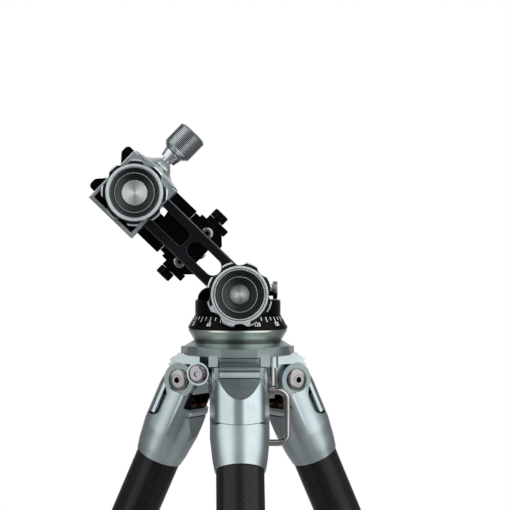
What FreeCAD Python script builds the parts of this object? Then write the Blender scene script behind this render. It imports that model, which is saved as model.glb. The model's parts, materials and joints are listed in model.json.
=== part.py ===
import FreeCAD, Part
import math
import os

# Two-axis tilting head on a three-legged carbon stand.
# Millimetres, +Z up. The origin is the mouth of the centre thread under the shoulder, on the pan
# axis. The front leg points along -Y, and the lower and upper pivots of the head lie along Y.

Vector = FreeCAD.Vector
X_AXIS = Vector(1, 0, 0)
Y_AXIS = Vector(0, 1, 0)
Z_AXIS = Vector(0, 0, 1)

os.makedirs("parts", exist_ok=True)

# ---------------------------------------------------------------- clearances
slip = 0.3            # between faces of pieces that move past each other
run = 0.05            # radial play of a shaft in its bearing or seat
overlap = 1.0         # how far a feature runs into the solid that it grows from
far = 60.0            # reach of a cut that has to leave its solid
break_edge = 0.3      # smallest bevel along a rim
same_place = 1e-6     # within this, two places count as one

# ---------------------------------------------------------------- shoulder
hub_radius = 22.0
hub_foot_radius = 15.5
hub_foot_height = 10.0
deck_bottom = 29.5
deck_rim_height = 5.5
neck_radius = 30.6
neck_top = 39.7
lobe_radius = 38.8
lobe_half_width = 12.5
shoulder_corner_radius = 37.3
shoulder_corner_angle = 50.0
rim_land = 0.4        # width of the flat land around the deck inside the lobe faces
lug_root = 10.5       # where the hinge lugs start inside the hub
lug_throat_reach = 28.0
thread_radius = 4.4
thread_depth = 14.0
stud_radius = 4.75
stud_length = 26.0
leg_azimuths = {"front": -90.0, "left": 150.0, "right": 30.0}

# ---------------------------------------------------------------- leg hinge
pivot_reach = 37.0    # pan axis to leg pivot
pivot_height = 11.5
leg_splay = 26.0
lug_half_width = 13.5
lug_radius = 10.5
stop_angles = [-4.0, 15.0, 27.0, 62.0]
stop_radii = [14.0, 15.6, 17.6]
brow_width = 6.3
brow_inner_reach = 19.0
brow_inset = 2.1      # brow's face inside the lobe's face
brow_lean = 3.7
brow_foot = 22.9
boss_radius = 12.0
ear_width = 4.7
bolt_cap_radius = 7.7
bolt_cap_height = 2.6
bolt_cap_edge = 0.9
bolt_cap_room = 0.9
bolt_radius = 4.0
bolt_socket_radius = 2.2
bolt_socket_depth = 1.6

# ---------------------------------------------------------------- leg
casting_radius = 20.0
casting_length = 62.0
casting_core_radius = 12.0
casting_lip_radius = 16.9     # at the casting's lower edge
casting_waist_radius = 18.3
casting_waist_height = 7.5    # above the lower edge, where the taper quickens
casting_taper_height = 23.0
upper_tube_radius = 16.0
middle_tube_radius = 14.2
lower_tube_radius = 12.5
tube_wall = 1.5
socket_depth = 22.0
upper_tube_end = 402.0
middle_tube_start = 70.0
lower_tube_start = 80.0
lock_wall = 2.8
lock_grasp = 14.0      # upper tube inside its lock
middle_tube_grasp = 16.0
upper_lock_length = 40.0
lower_lock_length = 38.0
lock_gap = 2.0
lock_flats = 12       # flats around the ribbed grip of each lock
lock_flat_depth = 0.6
lock_low_bevel = 1.6
lock_low_bevel_height = 2.5
lock_high_bevel = 1.2
lock_high_bevel_height = 4.0
lock_grip_low = 7.0   # grip's ends, in from the collar's ends
lock_grip_high = 8.0
foot_radius = 13.5
foot_length = 30.0
foot_bevel = 0.6
foot_bevel_height = 2.0
foot_tread = 12.0      # rubber below the end of the lower tube
tab_half_width = 16.6
tab_top = -1.5
tab_bottom = -36.5
tab_side_bottom = -31.0
tab_face_thickness = 8.2
tab_flange_thickness = 3.0
tab_flange_reach = 8.8
tab_flat_depth = 6.4
tab_flat_length = 17.7
finger_radius = 13.4
finger_reach = 15.2
finger_drop = 20.4
finger_side = 12.5
slot_floor = -16.5
inner_flat_depth = 5.5
inner_flat_top = -17.0
inner_flat_bottom = -41.0
ear_back = -11.0
latch_groove_height = 0.7
latch_groove_drop = 5.0
latch_groove_depth = 1.5

# ---------------------------------------------------------------- bail and accessory port
bail_x = 23.0
bail_y = -15.0
bail_pin_height = 4.9
bail_width = 26.0
bail_height = 40.3
bail_wire_radius = 2.3
bail_corner_radius = 6.0
bail_eye_radius = 4.9
bail_eye_width = 4.0
bail_post_radius = 3.0
hanger_bottom = 21.3  # foot of the boss under the deck that the post stands in
hanger_radius = 4.6
hanger_reach = 12.0   # how far that boss runs in towards the hub
port_x = -28.0
port_y = -28.4
port_height = 17.9
port_azimuth = -110.0
port_radius = 7.4
port_length = 26.0
port_bezel_radius = 8.0
port_bezel_height = 1.1
plug_radius = 6.6
plug_height = 2.6
plug_land = 0.9
plug_dome = [(0.5, 1.7), (1.6, 2.4)]  # insets from the rim and their heights
plug_flat_inset = 2.8
plug_socket_depth = 1.4
plug_shank_radius = 4.0
plug_shank_length = 9.0
plug_socket_radius = 2.0
post_seat_depth = 4.0

# ---------------------------------------------------------------- graduated base
ring_bottom_radius = 30.6
ring_shoulder_radius = 33.4
ring_top_radius = 34.4
ring_band_height = 1.7
ring_height = 6.8
ring_boss_radius = 20.0
scale_lip_radius = 34.7
scale_lip_height = 2.7
scale_lip_edge = 0.5
scale_top_radius = 30.1
scale_height = 10.6
spindle_radius = 8.0
spindle_flange_radius = 14.0
spindle_flange_height = 3.0
spindle_nut_radius = 11.5
spindle_nut_height = 4.0

# ---------------------------------------------------------------- pan housing and lower pivot
pan_radius = 29.9
pan_height = 10.5
pan_edge = 0.8
lower_pivot_rise = 4.6   # lower pivot above the top of the pan drum
yoke_overhang = 0.2   # yoke out past the front of the pan drum
yoke_back = 14.0
yoke_radius = 13.0
hood_x = -19.5
hood_radius = 8.6
hood_wall = 2.1
hood_half_length = 9.0
hood_pocket_depth = 9.0
axle_radius = 4.2
axle_flange_radius = 9.0
axle_flange_height = 3.0
lock_rise = 2.0       # pan lock's axis above the lower pivot
lock_boss_radius = 5.6
lock_boss_end = 19.5
lock_neck_radius = 4.1
lock_neck_length = 4.6
lock_neck_step = 0.8
lock_neck_bevel = 0.9
lock_disc_edge = 0.4
lock_disc_radius = 6.3
lock_disc_height = 3.2
lock_screw_radius = 2.5
lock_screw_length = 9.0

# ---------------------------------------------------------------- lower arm
arm_lean = 45.9       # tilt of the arm from the vertical, towards -X
arm_length = 98.0     # lower pivot to upper pivot
arm_thickness = 7.0
arm_half_width = 12.5
arm_offset = 0.8      # middle of the arm's rails beside the line through its pivots
arm_eye_radius = 14.0
arm_rail_width = 6.7
arm_window_start = 19.8
arm_window_end = 47.7
arm_web_recess = 2.6
arm_web_margin = 3.2
arm_web_corner = 2.8
arm_relief_radius = 25.0
arm_edge = 0.7
arm_screw_offset = 7.7
arm_screw_radius = 1.5
arm_screw_length = 22.0

# ---------------------------------------------------------------- upper housing
housing_low = -19.2
housing_high = 20.7
housing_left = -23.7
housing_right = 20.6
housing_depth = 22.7
pocket_rim = 2.7
pocket_end_rim = 2.5
pocket_inner = -9.6
pocket_depth = 9.0
grip_line = 0.5       # grip's axis above the upper pivot, along the arm
flange_edge = 0.9
flange_mid_radius = 12.2
flange_mid_height = 2.6
flange_neck_radius = 7.4
flange_neck_height = 6.2
flange_curve = (1.4, 1.6)     # outwards and down from the neck, the point that rounds it
flange_top_radius = 4.6
flange_top_bevel = (0.5, 0.7)
flange_height = 9.2
grip_stem_radius = 3.6
grip_stem_length = 1.6
grip_cone_start = 5.6
grip_cone_mid = 6.9
grip_cone_length = 5.4
grip_cone_groove = 0.35
grip_groove_width = 0.6
grip_groove_step = 0.3
grip_flare_length = 3.8
grip_radius = 10.6
grip_length = 15.4
grip_ridges = 15
grip_ridge_depth = 0.45
grip_ridge_steps = [(0.35, 0.0), (0.5, 1.0), (0.75, 1.0), (0.9, 0.0)]  # share of pitch, of depth
grip_bevel = 2.0
grip_chamfer = 1.3
grip_screw_radius = 2.5
grip_screw_length = 13.0

# ---------------------------------------------------------------- lobed knobs
knob_radius = 22.3
knob_height = 14.0
knob_lobes = 8
knob_scallop_radius = 8.0
knob_scallop_depth = 2.7
knob_rim_outer = 19.2
knob_rim_step = 1.6
knob_edge = 1.0
knob_gap = 0.3
knob_bore_depth = 8.0
upper_dish = [17.0, 13.1, 8.7]
lower_dish = [16.3, 11.8, 6.9]
dish_depths = [2.2, 3.4, 4.6]
dish_edge = 0.6       # bevel into the dish
dish_taper = 0.5
dish_ring = 0.5
dish_ring_height = 0.4
dish_ring_taper = 0.3
disc_rise = 0.4
disc_edge = 0.3
disc_thickness = 1.6
upper_knob_turn = -3.0
lower_knob_turn = 22.5

# ---------------------------------------------------------------- cradle, carriage and clamp
cradle_thickness = 8.0
cradle_left = -18.6
cradle_right = 20.7
cradle_top = 28.0
cradle_notch_depth = 7.1
cradle_notch_half = 13.1
cradle_notch_base = 5.0
cradle_corner = 3.0
cradle_bottom = -38.0
cradle_window_top = -14.0
cradle_window_bottom = -33.0
cradle_window_left = 2.4
cradle_window_right = 8.4
tongue_half_width = 9.0
tongue_thickness = 6.0
tongue_end = -61.6
axle_nut_radius = 10.0
axle_nut_height = 3.3
carriage_centre = 1.9
carriage_half_width = 19.9
carriage_top = -42.1
carriage_bottom = -67.3
carriage_front_wall = 4.1     # in front of the cradle's tongue
carriage_depth = 14.0
carriage_corner = 6.5
carriage_notch_half = 10.4    # notch in the carriage's lower edge
carriage_notch_depth = 4.9
carriage_notch_slant = 1.5
collar_inset = 2.2    # neck of the carriage inside its sides, up against the cradle
button_centre = 1.05
button_spacing = 13.35
button_height_line = -53.7
button_radius = 4.3
button_height = 2.0
button_edge = 0.7
button_bevel = 1.0
button_socket_radius = 1.8
button_socket_depth = 1.1
button_shank_radius = 2.0
button_shank_length = 4.0
thumb_line = -51.8
thumb_plate_top = -46.2
thumb_plate_bottom = -63.5
thumb_plate_height = 3.8
lug_inset = 1.0       # carriage's lugs and neck inside its front and back
thumb_radius = 5.7
thumb_height = 6.0
thumb_screw_radius = 2.0
thumb_edge = 0.6
thumb_flutes = 14
thumb_flute_radius = 0.8
thumb_flute_offset = 0.3
thumb_flute_margin = 1.6
clamp_floor = -53.0
clamp_jaw_top = -46.5
clamp_channel = 38.0
clamp_slab_bottom = -62.4
jaw_undercut = 4.0
jaw_foot = 1.0
jaw_lip = 1.5
jaw_thickness = 6.5
jaw_travel = 6.0
clamp_screw_b = 1.9
clamp_screw_line = -57.4
clamp_screw_radius = 2.5
clamp_knob_radius = 6.6
clamp_knob_height = 10.0
clamp_knob_seat_inset = 2.5
clamp_knob_seat_height = 1.5
clamp_knob_edge = 1.0
clamp_flute_radius = 1.2
clamp_flute_offset = 0.5
clamp_flute_low = 2.2
clamp_flute_high = 1.5
clamp_screw_room = 26.0
clamp_screw_grip = 18.0
guide_pin_radius = 2.0
guide_pin_spread = 13.0
guide_pin_reach = 2.0         # pin left in the jaw when the clamp is fully open
guide_pin_room = 1.0
jaw_back_depth = 5.0          # jaw behind its travel
jaw_fill_drop = 2.0

# ---------------------------------------------------------------- places that follow
deck_rim = deck_bottom + deck_rim_height
scale_bottom = neck_top + ring_height
scale_top = scale_bottom + scale_height
pan_bottom = scale_top + slip
pan_top = pan_bottom + pan_height
slot_half_width = lug_half_width + slip
ear_face = slot_half_width + ear_width
yoke_front = -(pan_radius + yoke_overhang)
arm_back = yoke_front - slip
arm_front = arm_back - arm_thickness
housing_front = arm_front - slip
housing_back = housing_front + housing_depth
knob_back = housing_front - knob_gap
housing_mid = (housing_front + housing_back) / 2
lower_pivot_height = pan_top + lower_pivot_rise
upper_lock_start = upper_tube_end - lock_grasp
lower_lock_start = upper_lock_start + upper_lock_length + lock_gap
middle_tube_end = lower_lock_start + middle_tube_grasp
foot_start = lower_lock_start + lower_lock_length + lock_gap
leg_end = foot_start + foot_length
lower_tube_end = leg_end - foot_tread
lock_height = lower_pivot_height + lock_rise
spindle_top = pan_top - pan_edge
cradle_front = housing_back + 2 * slip
cradle_back = cradle_front + cradle_thickness
tongue_front = cradle_front + (cradle_thickness - tongue_thickness) / 2
carriage_front = tongue_front - carriage_front_wall
carriage_back = carriage_front + carriage_depth
cradle_centre = (cradle_left + cradle_right) / 2
tube_socket_top = -casting_length + socket_depth


# ---------------------------------------------------------------- shape helpers
def box(x0, x1, y0, y1, z0, z1):
    return Part.makeBox(x1 - x0, y1 - y0, z1 - z0, Vector(x0, y0, z0))


def cylinder(radius, z0, z1):
    return Part.makeCylinder(radius, z1 - z0, Vector(0, 0, z0))


def cylinder_x(radius, x0, x1, y, z):
    return Part.makeCylinder(radius, x1 - x0, Vector(x0, y, z), X_AXIS)


def cylinder_y(radius, y0, y1, x, z):
    return Part.makeCylinder(radius, y1 - y0, Vector(x, y0, z), Y_AXIS)


def turned(profile):
    """Solid of revolution about Z of a closed (radius, z) outline."""
    points = [Vector(r, 0, z) for r, z in profile]
    points.append(points[0])
    return Part.Face(Part.makePolygon(points)).revolve(Vector(0, 0, 0), Z_AXIS, 360)


def prism_xz(outline, y0, y1):
    """Outline of (x, z) points pushed from y0 to y1."""
    points = [Vector(x, y0, z) for x, z in outline]
    points.append(points[0])
    return Part.Face(Part.makePolygon(points)).extrude(Vector(0, y1 - y0, 0))


def prism_yz(outline, x0, x1):
    """Outline of (y, z) points pushed from x0 to x1."""
    points = [Vector(x0, y, z) for y, z in outline]
    points.append(points[0])
    return Part.Face(Part.makePolygon(points)).extrude(Vector(x1 - x0, 0, 0))


def prism_xy(outline, z0, z1):
    """Outline of (x, y) points pushed from z0 to z1."""
    points = [Vector(x, y, z0) for x, y in outline]
    points.append(points[0])
    return Part.Face(Part.makePolygon(points)).extrude(Vector(0, 0, z1 - z0))


def joined(shapes):
    result = shapes[0]
    for shape in shapes[1:]:
        result = result.fuse(shape)
    return result.removeSplitter()


def cut(shape, *tools):
    for tool in tools:
        shape = shape.cut(tool)
    return shape


def moved(shape, x=0.0, y=0.0, z=0.0):
    shape = shape.copy()
    shape.translate(Vector(x, y, z))
    return shape


def rotated(shape, axis, angle, centre=Vector(0, 0, 0)):
    shape = shape.copy()
    shape.rotate(centre, axis, angle)
    return shape


def facing_front(shape, x, y, z):
    """Turns a piece built along +Z to point along -Y, with its seat at (x, y, z)."""
    return moved(rotated(shape, X_AXIS, 90), x, y, z)


def facing_back(shape, x, y, z):
    """Turns a piece built along +Z to point along +Y."""
    return moved(rotated(shape, X_AXIS, -90), x, y, z)


def facing_right(shape, x, y, z):
    """Turns a piece built along +Z to point along +X."""
    return moved(rotated(shape, Y_AXIS, 90), x, y, z)


def facing_left(shape, x, y, z):
    """Turns a piece built along +Z to point along -X."""
    return moved(rotated(shape, Y_AXIS, -90), x, y, z)


def hexagon(radius, z0, z1):
    points = [(radius * math.cos(math.radians(60 * k)), radius * math.sin(math.radians(60 * k)))
              for k in range(6)]
    return prism_xy(points, z0, z1)


def polar(radius, angle):
    return radius * math.cos(math.radians(angle)), radius * math.sin(math.radians(angle))


def wedge(start, end):
    """Outline of a wedge from the origin between two angles, reaching past every piece near it."""
    return [(0.0, 0.0), polar(far, start), polar(far, (start + end) / 2), polar(far, end)]


# ---------------------------------------------------------------- frames of the sub-assemblies
def at_lower_pivot(shape):
    """From the arm's upright frame, origin on the lower pivot, into its leaning place."""
    return moved(rotated(shape, Y_AXIS, -arm_lean), 0, 0, lower_pivot_height)


def at_upper_pivot(shape):
    """From the upright frame with its origin on the upper pivot into the leaning place."""
    return at_lower_pivot(moved(shape, 0, 0, arm_length))


def at_leg(shape, azimuth):
    """From a leg's upright frame, origin on its pivot and +X outwards, into its splayed place."""
    leaning = moved(rotated(shape, Y_AXIS, -leg_splay), pivot_reach, 0, pivot_height)
    return rotated(leaning, Z_AXIS, azimuth)


# ---------------------------------------------------------------- shoulder
def deck():
    outline = []
    corner_angle = math.degrees(math.atan2(lobe_half_width, lobe_radius))
    corner_radius = math.hypot(lobe_half_width, lobe_radius)
    half_sector = [(corner_radius, corner_angle), (shoulder_corner_radius, shoulder_corner_angle)]
    for azimuth in sorted(leg_azimuths.values()):
        for radius, angle in reversed(half_sector):
            outline.append(polar(radius, azimuth - angle))
        for radius, angle in half_sector:
            outline.append(polar(radius, azimuth + angle))
    prism = prism_xy(outline, deck_bottom, neck_top)
    outer = corner_radius + overlap
    crown = turned([(0, deck_bottom), (outer, deck_bottom), (outer, deck_rim),
                    (lobe_radius - rim_land, deck_rim), (neck_radius, neck_top), (0, neck_top)])
    return prism.common(crown)


def lug():
    """Hinge lug of one leg, radial along +X, with the stepped angle stops above the pivot."""
    web = prism_xz([(lug_root, deck_bottom + overlap), (lug_root, hub_foot_height),
                    (hub_radius, hub_foot_height), (lug_throat_reach, pivot_height - lug_radius),
                    (pivot_reach, pivot_height - lug_radius), (pivot_reach, deck_bottom + overlap)],
                   -lug_half_width, lug_half_width)
    knuckle = cylinder_y(lug_radius, -lug_half_width, lug_half_width, pivot_reach, pivot_height)
    steps = []
    for start, radius in zip(stop_angles, stop_radii):
        round_step = cylinder_y(radius, -lug_half_width, lug_half_width, 0, 0)
        step = round_step.common(prism_xz(wedge(start, stop_angles[-1]), -far, far))
        steps.append(moved(rotated(step, Y_AXIS, -leg_splay), pivot_reach, 0, pivot_height))
    under_deck = box(0, far, -far, far, 0, deck_bottom + overlap)
    return joined([web, knuckle] + steps).common(under_deck)


def brow(side):
    """Block under the deck that covers the top of one ear of the leg casting."""
    inner = side * (slot_half_width + 2 * slip)
    outer = side * (slot_half_width + 2 * slip + brow_width)
    end = lobe_radius - brow_inset
    block = prism_xz([(brow_inner_reach, deck_bottom + overlap), (brow_inner_reach, brow_foot),
                      (end + brow_lean, brow_foot), (end, deck_bottom + overlap)],
                     min(inner, outer), max(inner, outer))
    ear_room = cylinder_y(boss_radius + slip, -far, far, pivot_reach, pivot_height)
    return block.cut(ear_room)


def port_frame(shape):
    """Places a piece built along +Z on the accessory port, pointing out of it."""
    tipped = rotated(shape, Y_AXIS, 90)
    return moved(rotated(tipped, Z_AXIS, port_azimuth), port_x, port_y, port_height)


def hanger():
    """Boss under the deck that the bail's post stands in."""
    round_end = moved(cylinder(hanger_radius, hanger_bottom, deck_bottom + overlap), bail_x, bail_y)
    arm = box(-hanger_reach, 0, -hanger_radius, hanger_radius, hanger_bottom, deck_bottom + overlap)
    inward = math.degrees(math.atan2(bail_y, bail_x))
    return round_end.fuse(moved(rotated(arm, Z_AXIS, inward), bail_x, bail_y))


def shoulder():
    body = joined([deck(), cylinder(hub_radius, hub_foot_height, deck_bottom + overlap),
                   cylinder(hub_foot_radius, 0, hub_foot_height + overlap),
                   port_frame(cylinder(port_radius, -port_length, 0)),
                   port_frame(cylinder(port_bezel_radius, -port_bezel_height, 0)), hanger()])
    for azimuth in leg_azimuths.values():
        for feature in (lug(), brow(1), brow(-1)):
            body = body.fuse(rotated(feature, Z_AXIS, azimuth))
    body = body.removeSplitter()
    pin_bore = cylinder_y(bolt_radius, -slot_half_width, slot_half_width, pivot_reach, pivot_height)
    for azimuth in leg_azimuths.values():
        body = body.cut(rotated(pin_bore, Z_AXIS, azimuth))
    stud_bottom = neck_top - stud_length / 2
    plug_bore = port_frame(cylinder(plug_shank_radius + run, -plug_shank_length - run, overlap))
    post_seat = moved(cylinder(bail_post_radius, hanger_bottom - overlap,
                               deck_bottom + post_seat_depth), bail_x, bail_y)
    return cut(body, cylinder(thread_radius, -overlap, thread_depth),
               cylinder(stud_radius + run, stud_bottom, neck_top + overlap), plug_bore, post_seat)


def mounting_stud():
    return cylinder(stud_radius, neck_top - stud_length / 2, neck_top + stud_length / 2)


def pivot_bolts():
    """Two half bolts for each leg, with domed caps outside the ears."""
    seat = ear_face + slip
    top = seat + bolt_cap_height
    cap = turned([(0, seat), (bolt_cap_radius, seat), (bolt_cap_radius, top - bolt_cap_edge),
                  (bolt_cap_radius - bolt_cap_edge, top), (0, top)])
    socket = hexagon(bolt_socket_radius, top - bolt_socket_depth, seat + far)
    half = cap.fuse(cylinder(bolt_radius, slip, seat)).cut(socket)
    bolts = []
    for azimuth in leg_azimuths.values():
        for turn in (90, -90):
            bolt = moved(rotated(half, X_AXIS, turn), pivot_reach, 0, pivot_height)
            bolts.append(rotated(bolt, Z_AXIS, azimuth))
    return Part.makeCompound(bolts)


def accessory_plug():
    curve = [(plug_radius - inset, height) for inset, height in plug_dome]
    dome = turned([(0, 0), (plug_radius, 0), (plug_radius, plug_land)] + curve
                  + [(plug_radius - plug_flat_inset, plug_height), (0, plug_height)])
    plug = dome.fuse(cylinder(plug_shank_radius, -plug_shank_length, 0))
    return port_frame(plug.cut(hexagon(plug_socket_radius, plug_height - plug_socket_depth, far)))


def bail_post():
    post = moved(cylinder(bail_post_radius, bail_pin_height, deck_bottom + post_seat_depth),
                 bail_x, bail_y)
    half = bail_eye_width / 2
    eye = cylinder_x(bail_eye_radius, bail_x - half, bail_x + half, bail_y, bail_pin_height)
    hole = cylinder_x(bail_wire_radius + slip, -far, far, bail_y, bail_pin_height)
    return post.fuse(eye).cut(hole).removeSplitter()


def hanging_bail():
    """Bent bar in a rounded rectangle that hangs with its top run through the post's eye."""
    r = bail_corner_radius
    half = bail_width / 2 - bail_wire_radius
    top = bail_pin_height
    bottom = top - (bail_height - 2 * bail_wire_radius)
    left, right = bail_x - half, bail_x + half
    inset = r * (1 - math.sqrt(0.5))

    def at(x, z):
        return Vector(x, bail_y, z)

    runs = [(at(bail_x, top), at(right - r, top)), (at(right, top - r), at(right, bottom + r)),
            (at(right - r, bottom), at(left + r, bottom)), (at(left, bottom + r), at(left, top - r)),
            (at(left + r, top), at(bail_x, top))]
    middles = [at(right - inset, top - inset), at(right - inset, bottom + inset),
               at(left + inset, bottom + inset), at(left + inset, top - inset)]
    edges = []
    for k, (start, end) in enumerate(runs):
        edges.append(Part.makeLine(start, end))
        if k < len(middles):
            edges.append(Part.Arc(end, middles[k], runs[k + 1][0]).toShape())
    section = Part.Wire(Part.makeCircle(bail_wire_radius, at(bail_x, top), X_AXIS))
    return Part.Wire(edges).makePipeShell([section], True, False)


# ---------------------------------------------------------------- graduated base
def base_ring():
    ring = turned([(0, neck_top), (ring_bottom_radius, neck_top),
                   (ring_shoulder_radius, scale_bottom - ring_band_height),
                   (ring_top_radius, scale_bottom - break_edge), (ring_top_radius, scale_bottom),
                   (ring_boss_radius, scale_bottom), (ring_boss_radius, scale_top), (0, scale_top)])
    stud_room = cylinder(stud_radius + run, 0, neck_top + stud_length / 2)
    return cut(ring, stud_room, spindle_room())


def spindle_room():
    """Pocket in the base ring for the spindle's flange, and its bore to the top."""
    flange_bottom = scale_top - spindle_flange_height
    return cylinder(spindle_flange_radius + run, flange_bottom, far + scale_top)


def scale_ring():
    return turned([(ring_boss_radius + run, scale_bottom),
                   (scale_lip_radius - break_edge, scale_bottom),
                   (scale_lip_radius, scale_bottom + scale_lip_edge),
                   (scale_lip_radius, scale_bottom + scale_lip_height),
                   (scale_top_radius, scale_top), (ring_boss_radius + run, scale_top)])


def pan_spindle():
    """Flanged spindle, seated in the base ring, that the pan drum turns on."""
    return turned([(0, scale_top - spindle_flange_height),
                   (spindle_flange_radius, scale_top - spindle_flange_height),
                   (spindle_flange_radius, scale_top), (spindle_radius, scale_top),
                   (spindle_radius, spindle_top), (0, spindle_top)])


def spindle_nut():
    nut = hexagon(spindle_nut_radius, spindle_top - spindle_nut_height, spindle_top)
    return nut.cut(cylinder(spindle_radius, 0, far + pan_top))


# ---------------------------------------------------------------- pan drum and yoke
def pan_drum():
    drum = turned([(0, pan_bottom), (pan_radius, pan_bottom), (pan_radius, pan_top - pan_edge),
                   (pan_radius - pan_edge, pan_top), (0, pan_top)])
    nut_room = cylinder(spindle_nut_radius + slip, spindle_top - spindle_nut_height - slip,
                        pan_top + overlap)
    return cut(drum, nut_room, cylinder(spindle_radius + run, 0, far + pan_top))


def pan_yoke():
    """Block on the drum that carries the lower axle, the pan lock and the hood on its left."""
    block = box(-yoke_radius, yoke_radius, yoke_front, yoke_back, pan_top, lower_pivot_height)
    crown = cylinder_y(yoke_radius, yoke_front, yoke_back, 0, lower_pivot_height)
    hood = cylinder_y(hood_radius, -hood_half_length, hood_half_length, hood_x, pan_top)
    lock_boss = cylinder_x(lock_boss_radius, 0, lock_boss_end, 0, lock_height)
    above_drum = box(-far, far, -far, far, pan_top, far + pan_top)
    body = joined([block, crown, hood, lock_boss]).common(above_drum)
    hood_pocket = cylinder_y(hood_radius - hood_wall, -hood_half_length - overlap,
                             -hood_half_length + hood_pocket_depth, hood_x, pan_top)
    lock_bore = cylinder_x(lock_screw_radius + run, lock_boss_end - lock_screw_length - slip,
                           far, 0, lock_height)
    axle_bore = cylinder_y(axle_radius, -far, far, 0, lower_pivot_height)
    return cut(body, hood_pocket, lock_bore, axle_bore)


def lower_axle():
    flange = cylinder(axle_flange_radius, 0, axle_flange_height)
    rear = facing_back(flange, 0, yoke_back, lower_pivot_height)
    rear = rear.common(box(-far, far, -far, far, pan_top, far + pan_top))
    shaft = cylinder_y(axle_radius, knob_back - knob_bore_depth + slip, yoke_back, 0,
                       lower_pivot_height)
    return rear.fuse(shaft).removeSplitter()


def pan_lock_knob():
    """Small round knob whose screw clamps the pan; it points along +X."""
    start = slip
    neck_end = start + lock_neck_length
    face = neck_end + lock_disc_height
    profile = [(0, start), (lock_neck_radius - lock_neck_step, start),
               (lock_neck_radius, start + lock_neck_bevel), (lock_neck_radius, neck_end),
               (lock_disc_radius - lock_disc_edge, neck_end),
               (lock_disc_radius, neck_end + lock_disc_edge),
               (lock_disc_radius, face - lock_disc_edge),
               (lock_disc_radius - lock_disc_edge, face), (0, face)]
    screw = cylinder(lock_screw_radius, -lock_screw_length, start + overlap)
    return facing_right(turned(profile).fuse(screw).removeSplitter(), lock_boss_end, 0,
                        lock_height)


# ---------------------------------------------------------------- lobed knobs
def lobed_knob(dish):
    """Knob built along +Z from its back at 0, with a stepped dish in its face."""
    rim, ring, centre = dish
    top = knob_height
    rim_low, ring_low, floor = (top - depth for depth in dish_depths)
    profile = [(0, 0), (knob_radius - knob_edge, 0), (knob_radius, knob_edge),
               (knob_radius, top - knob_rim_step - knob_edge),
               (knob_radius - knob_edge, top - knob_rim_step), (knob_rim_outer, top - knob_rim_step),
               (knob_rim_outer, top - break_edge), (knob_rim_outer - break_edge, top),
               (rim + dish_edge, top), (rim, top - dish_edge), (rim - dish_taper, rim_low),
               (ring + dish_ring, ring_low + dish_ring_height), (ring, ring_low + dish_ring_height),
               (ring - dish_ring_taper, ring_low), (centre, floor), (0, floor)]
    body = turned(profile)
    reach = knob_radius - knob_scallop_depth + knob_scallop_radius
    for k in range(knob_lobes):
        x, y = polar(reach, 360 / knob_lobes * (k + 0.5))
        scallop = cylinder(knob_scallop_radius, -overlap, top - knob_rim_step)
        body = body.cut(moved(scallop, x, y))
    bore = cylinder(axle_radius + run, -overlap, knob_bore_depth)
    seat = cylinder(centre - run, floor - disc_thickness, top)
    return cut(body, bore, seat)


def knob_disc(dish):
    """Spun disc that closes the middle of a lobed knob."""
    floor = knob_height - dish_depths[-1]
    radius = dish[-1] - 2 * run
    top = floor + disc_rise
    return turned([(0, floor - disc_thickness), (radius, floor - disc_thickness),
                   (radius, top - disc_edge), (radius - disc_edge, top), (0, top)])


def upper_knob_place(shape):
    return at_upper_pivot(facing_front(rotated(shape, Z_AXIS, upper_knob_turn - arm_lean), 0,
                                       knob_back, 0))


def lower_knob_place(shape):
    return facing_front(rotated(shape, Z_AXIS, lower_knob_turn), 0, knob_back, lower_pivot_height)


# ---------------------------------------------------------------- lower arm and upper housing
def lower_arm():
    """Ladder-shaped arm, upright, with its origin on the lower pivot."""
    half = arm_half_width
    top = arm_length + housing_low
    left, right = arm_offset - half, arm_offset + half
    plate = prism_xz([(left, 0), (right, 0), (right, top), (left, top)], arm_front, arm_back)
    eye = cylinder_y(arm_eye_radius, arm_front, arm_back, 0, 0)
    body = joined([plate, eye])
    edges = [edge for edge in body.Edges
             if all(abs(v.Point.y - arm_front) < same_place for v in edge.Vertexes)
             and not all(abs(v.Point.z - top) < same_place for v in edge.Vertexes)]
    body = body.makeChamfer(arm_edge, edges)
    inner = half - arm_rail_width
    window_low = arm_window_start + inner
    window_high = arm_window_end - inner
    left, right = arm_offset - inner, arm_offset + inner
    window = joined([box(left, right, -far, far, window_low, window_high),
                     cylinder_y(inner, -far, far, arm_offset, window_low),
                     cylinder_y(inner, -far, far, arm_offset, window_high)])
    web_start = arm_window_end + arm_web_margin
    web_end = top + overlap
    c = arm_web_corner
    y0, y1 = arm_front - overlap, arm_front + arm_web_recess
    recess = joined([box(left, right, y0, y1, web_start + c, web_end),
                     box(left + c, right - c, y0, y1, web_start, web_end),
                     cylinder_y(c, y0, y1, left + c, web_start + c),
                     cylinder_y(c, y0, y1, right - c, web_start + c)])
    relief = cylinder_y(arm_relief_radius, -far, far, 0, arm_length)
    relief = relief.common(box(left, right, -far, far, 0, web_end))
    bore = cylinder_y(axle_radius + run, -far, far, 0, 0)
    return cut(body, window, recess, relief, bore, *arm_screw_cylinders(run))


def arm_screw_cylinders(play):
    """The two long screws that hold the housing on the arm's rails, in the arm's frame."""
    middle = (arm_front + arm_back) / 2
    seam = arm_length + housing_low
    return [moved(cylinder(arm_screw_radius + play, seam - arm_screw_length / 2,
                           seam + arm_screw_length / 2), x, middle)
            for x in (arm_offset - arm_screw_offset, arm_offset + arm_screw_offset)]


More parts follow.
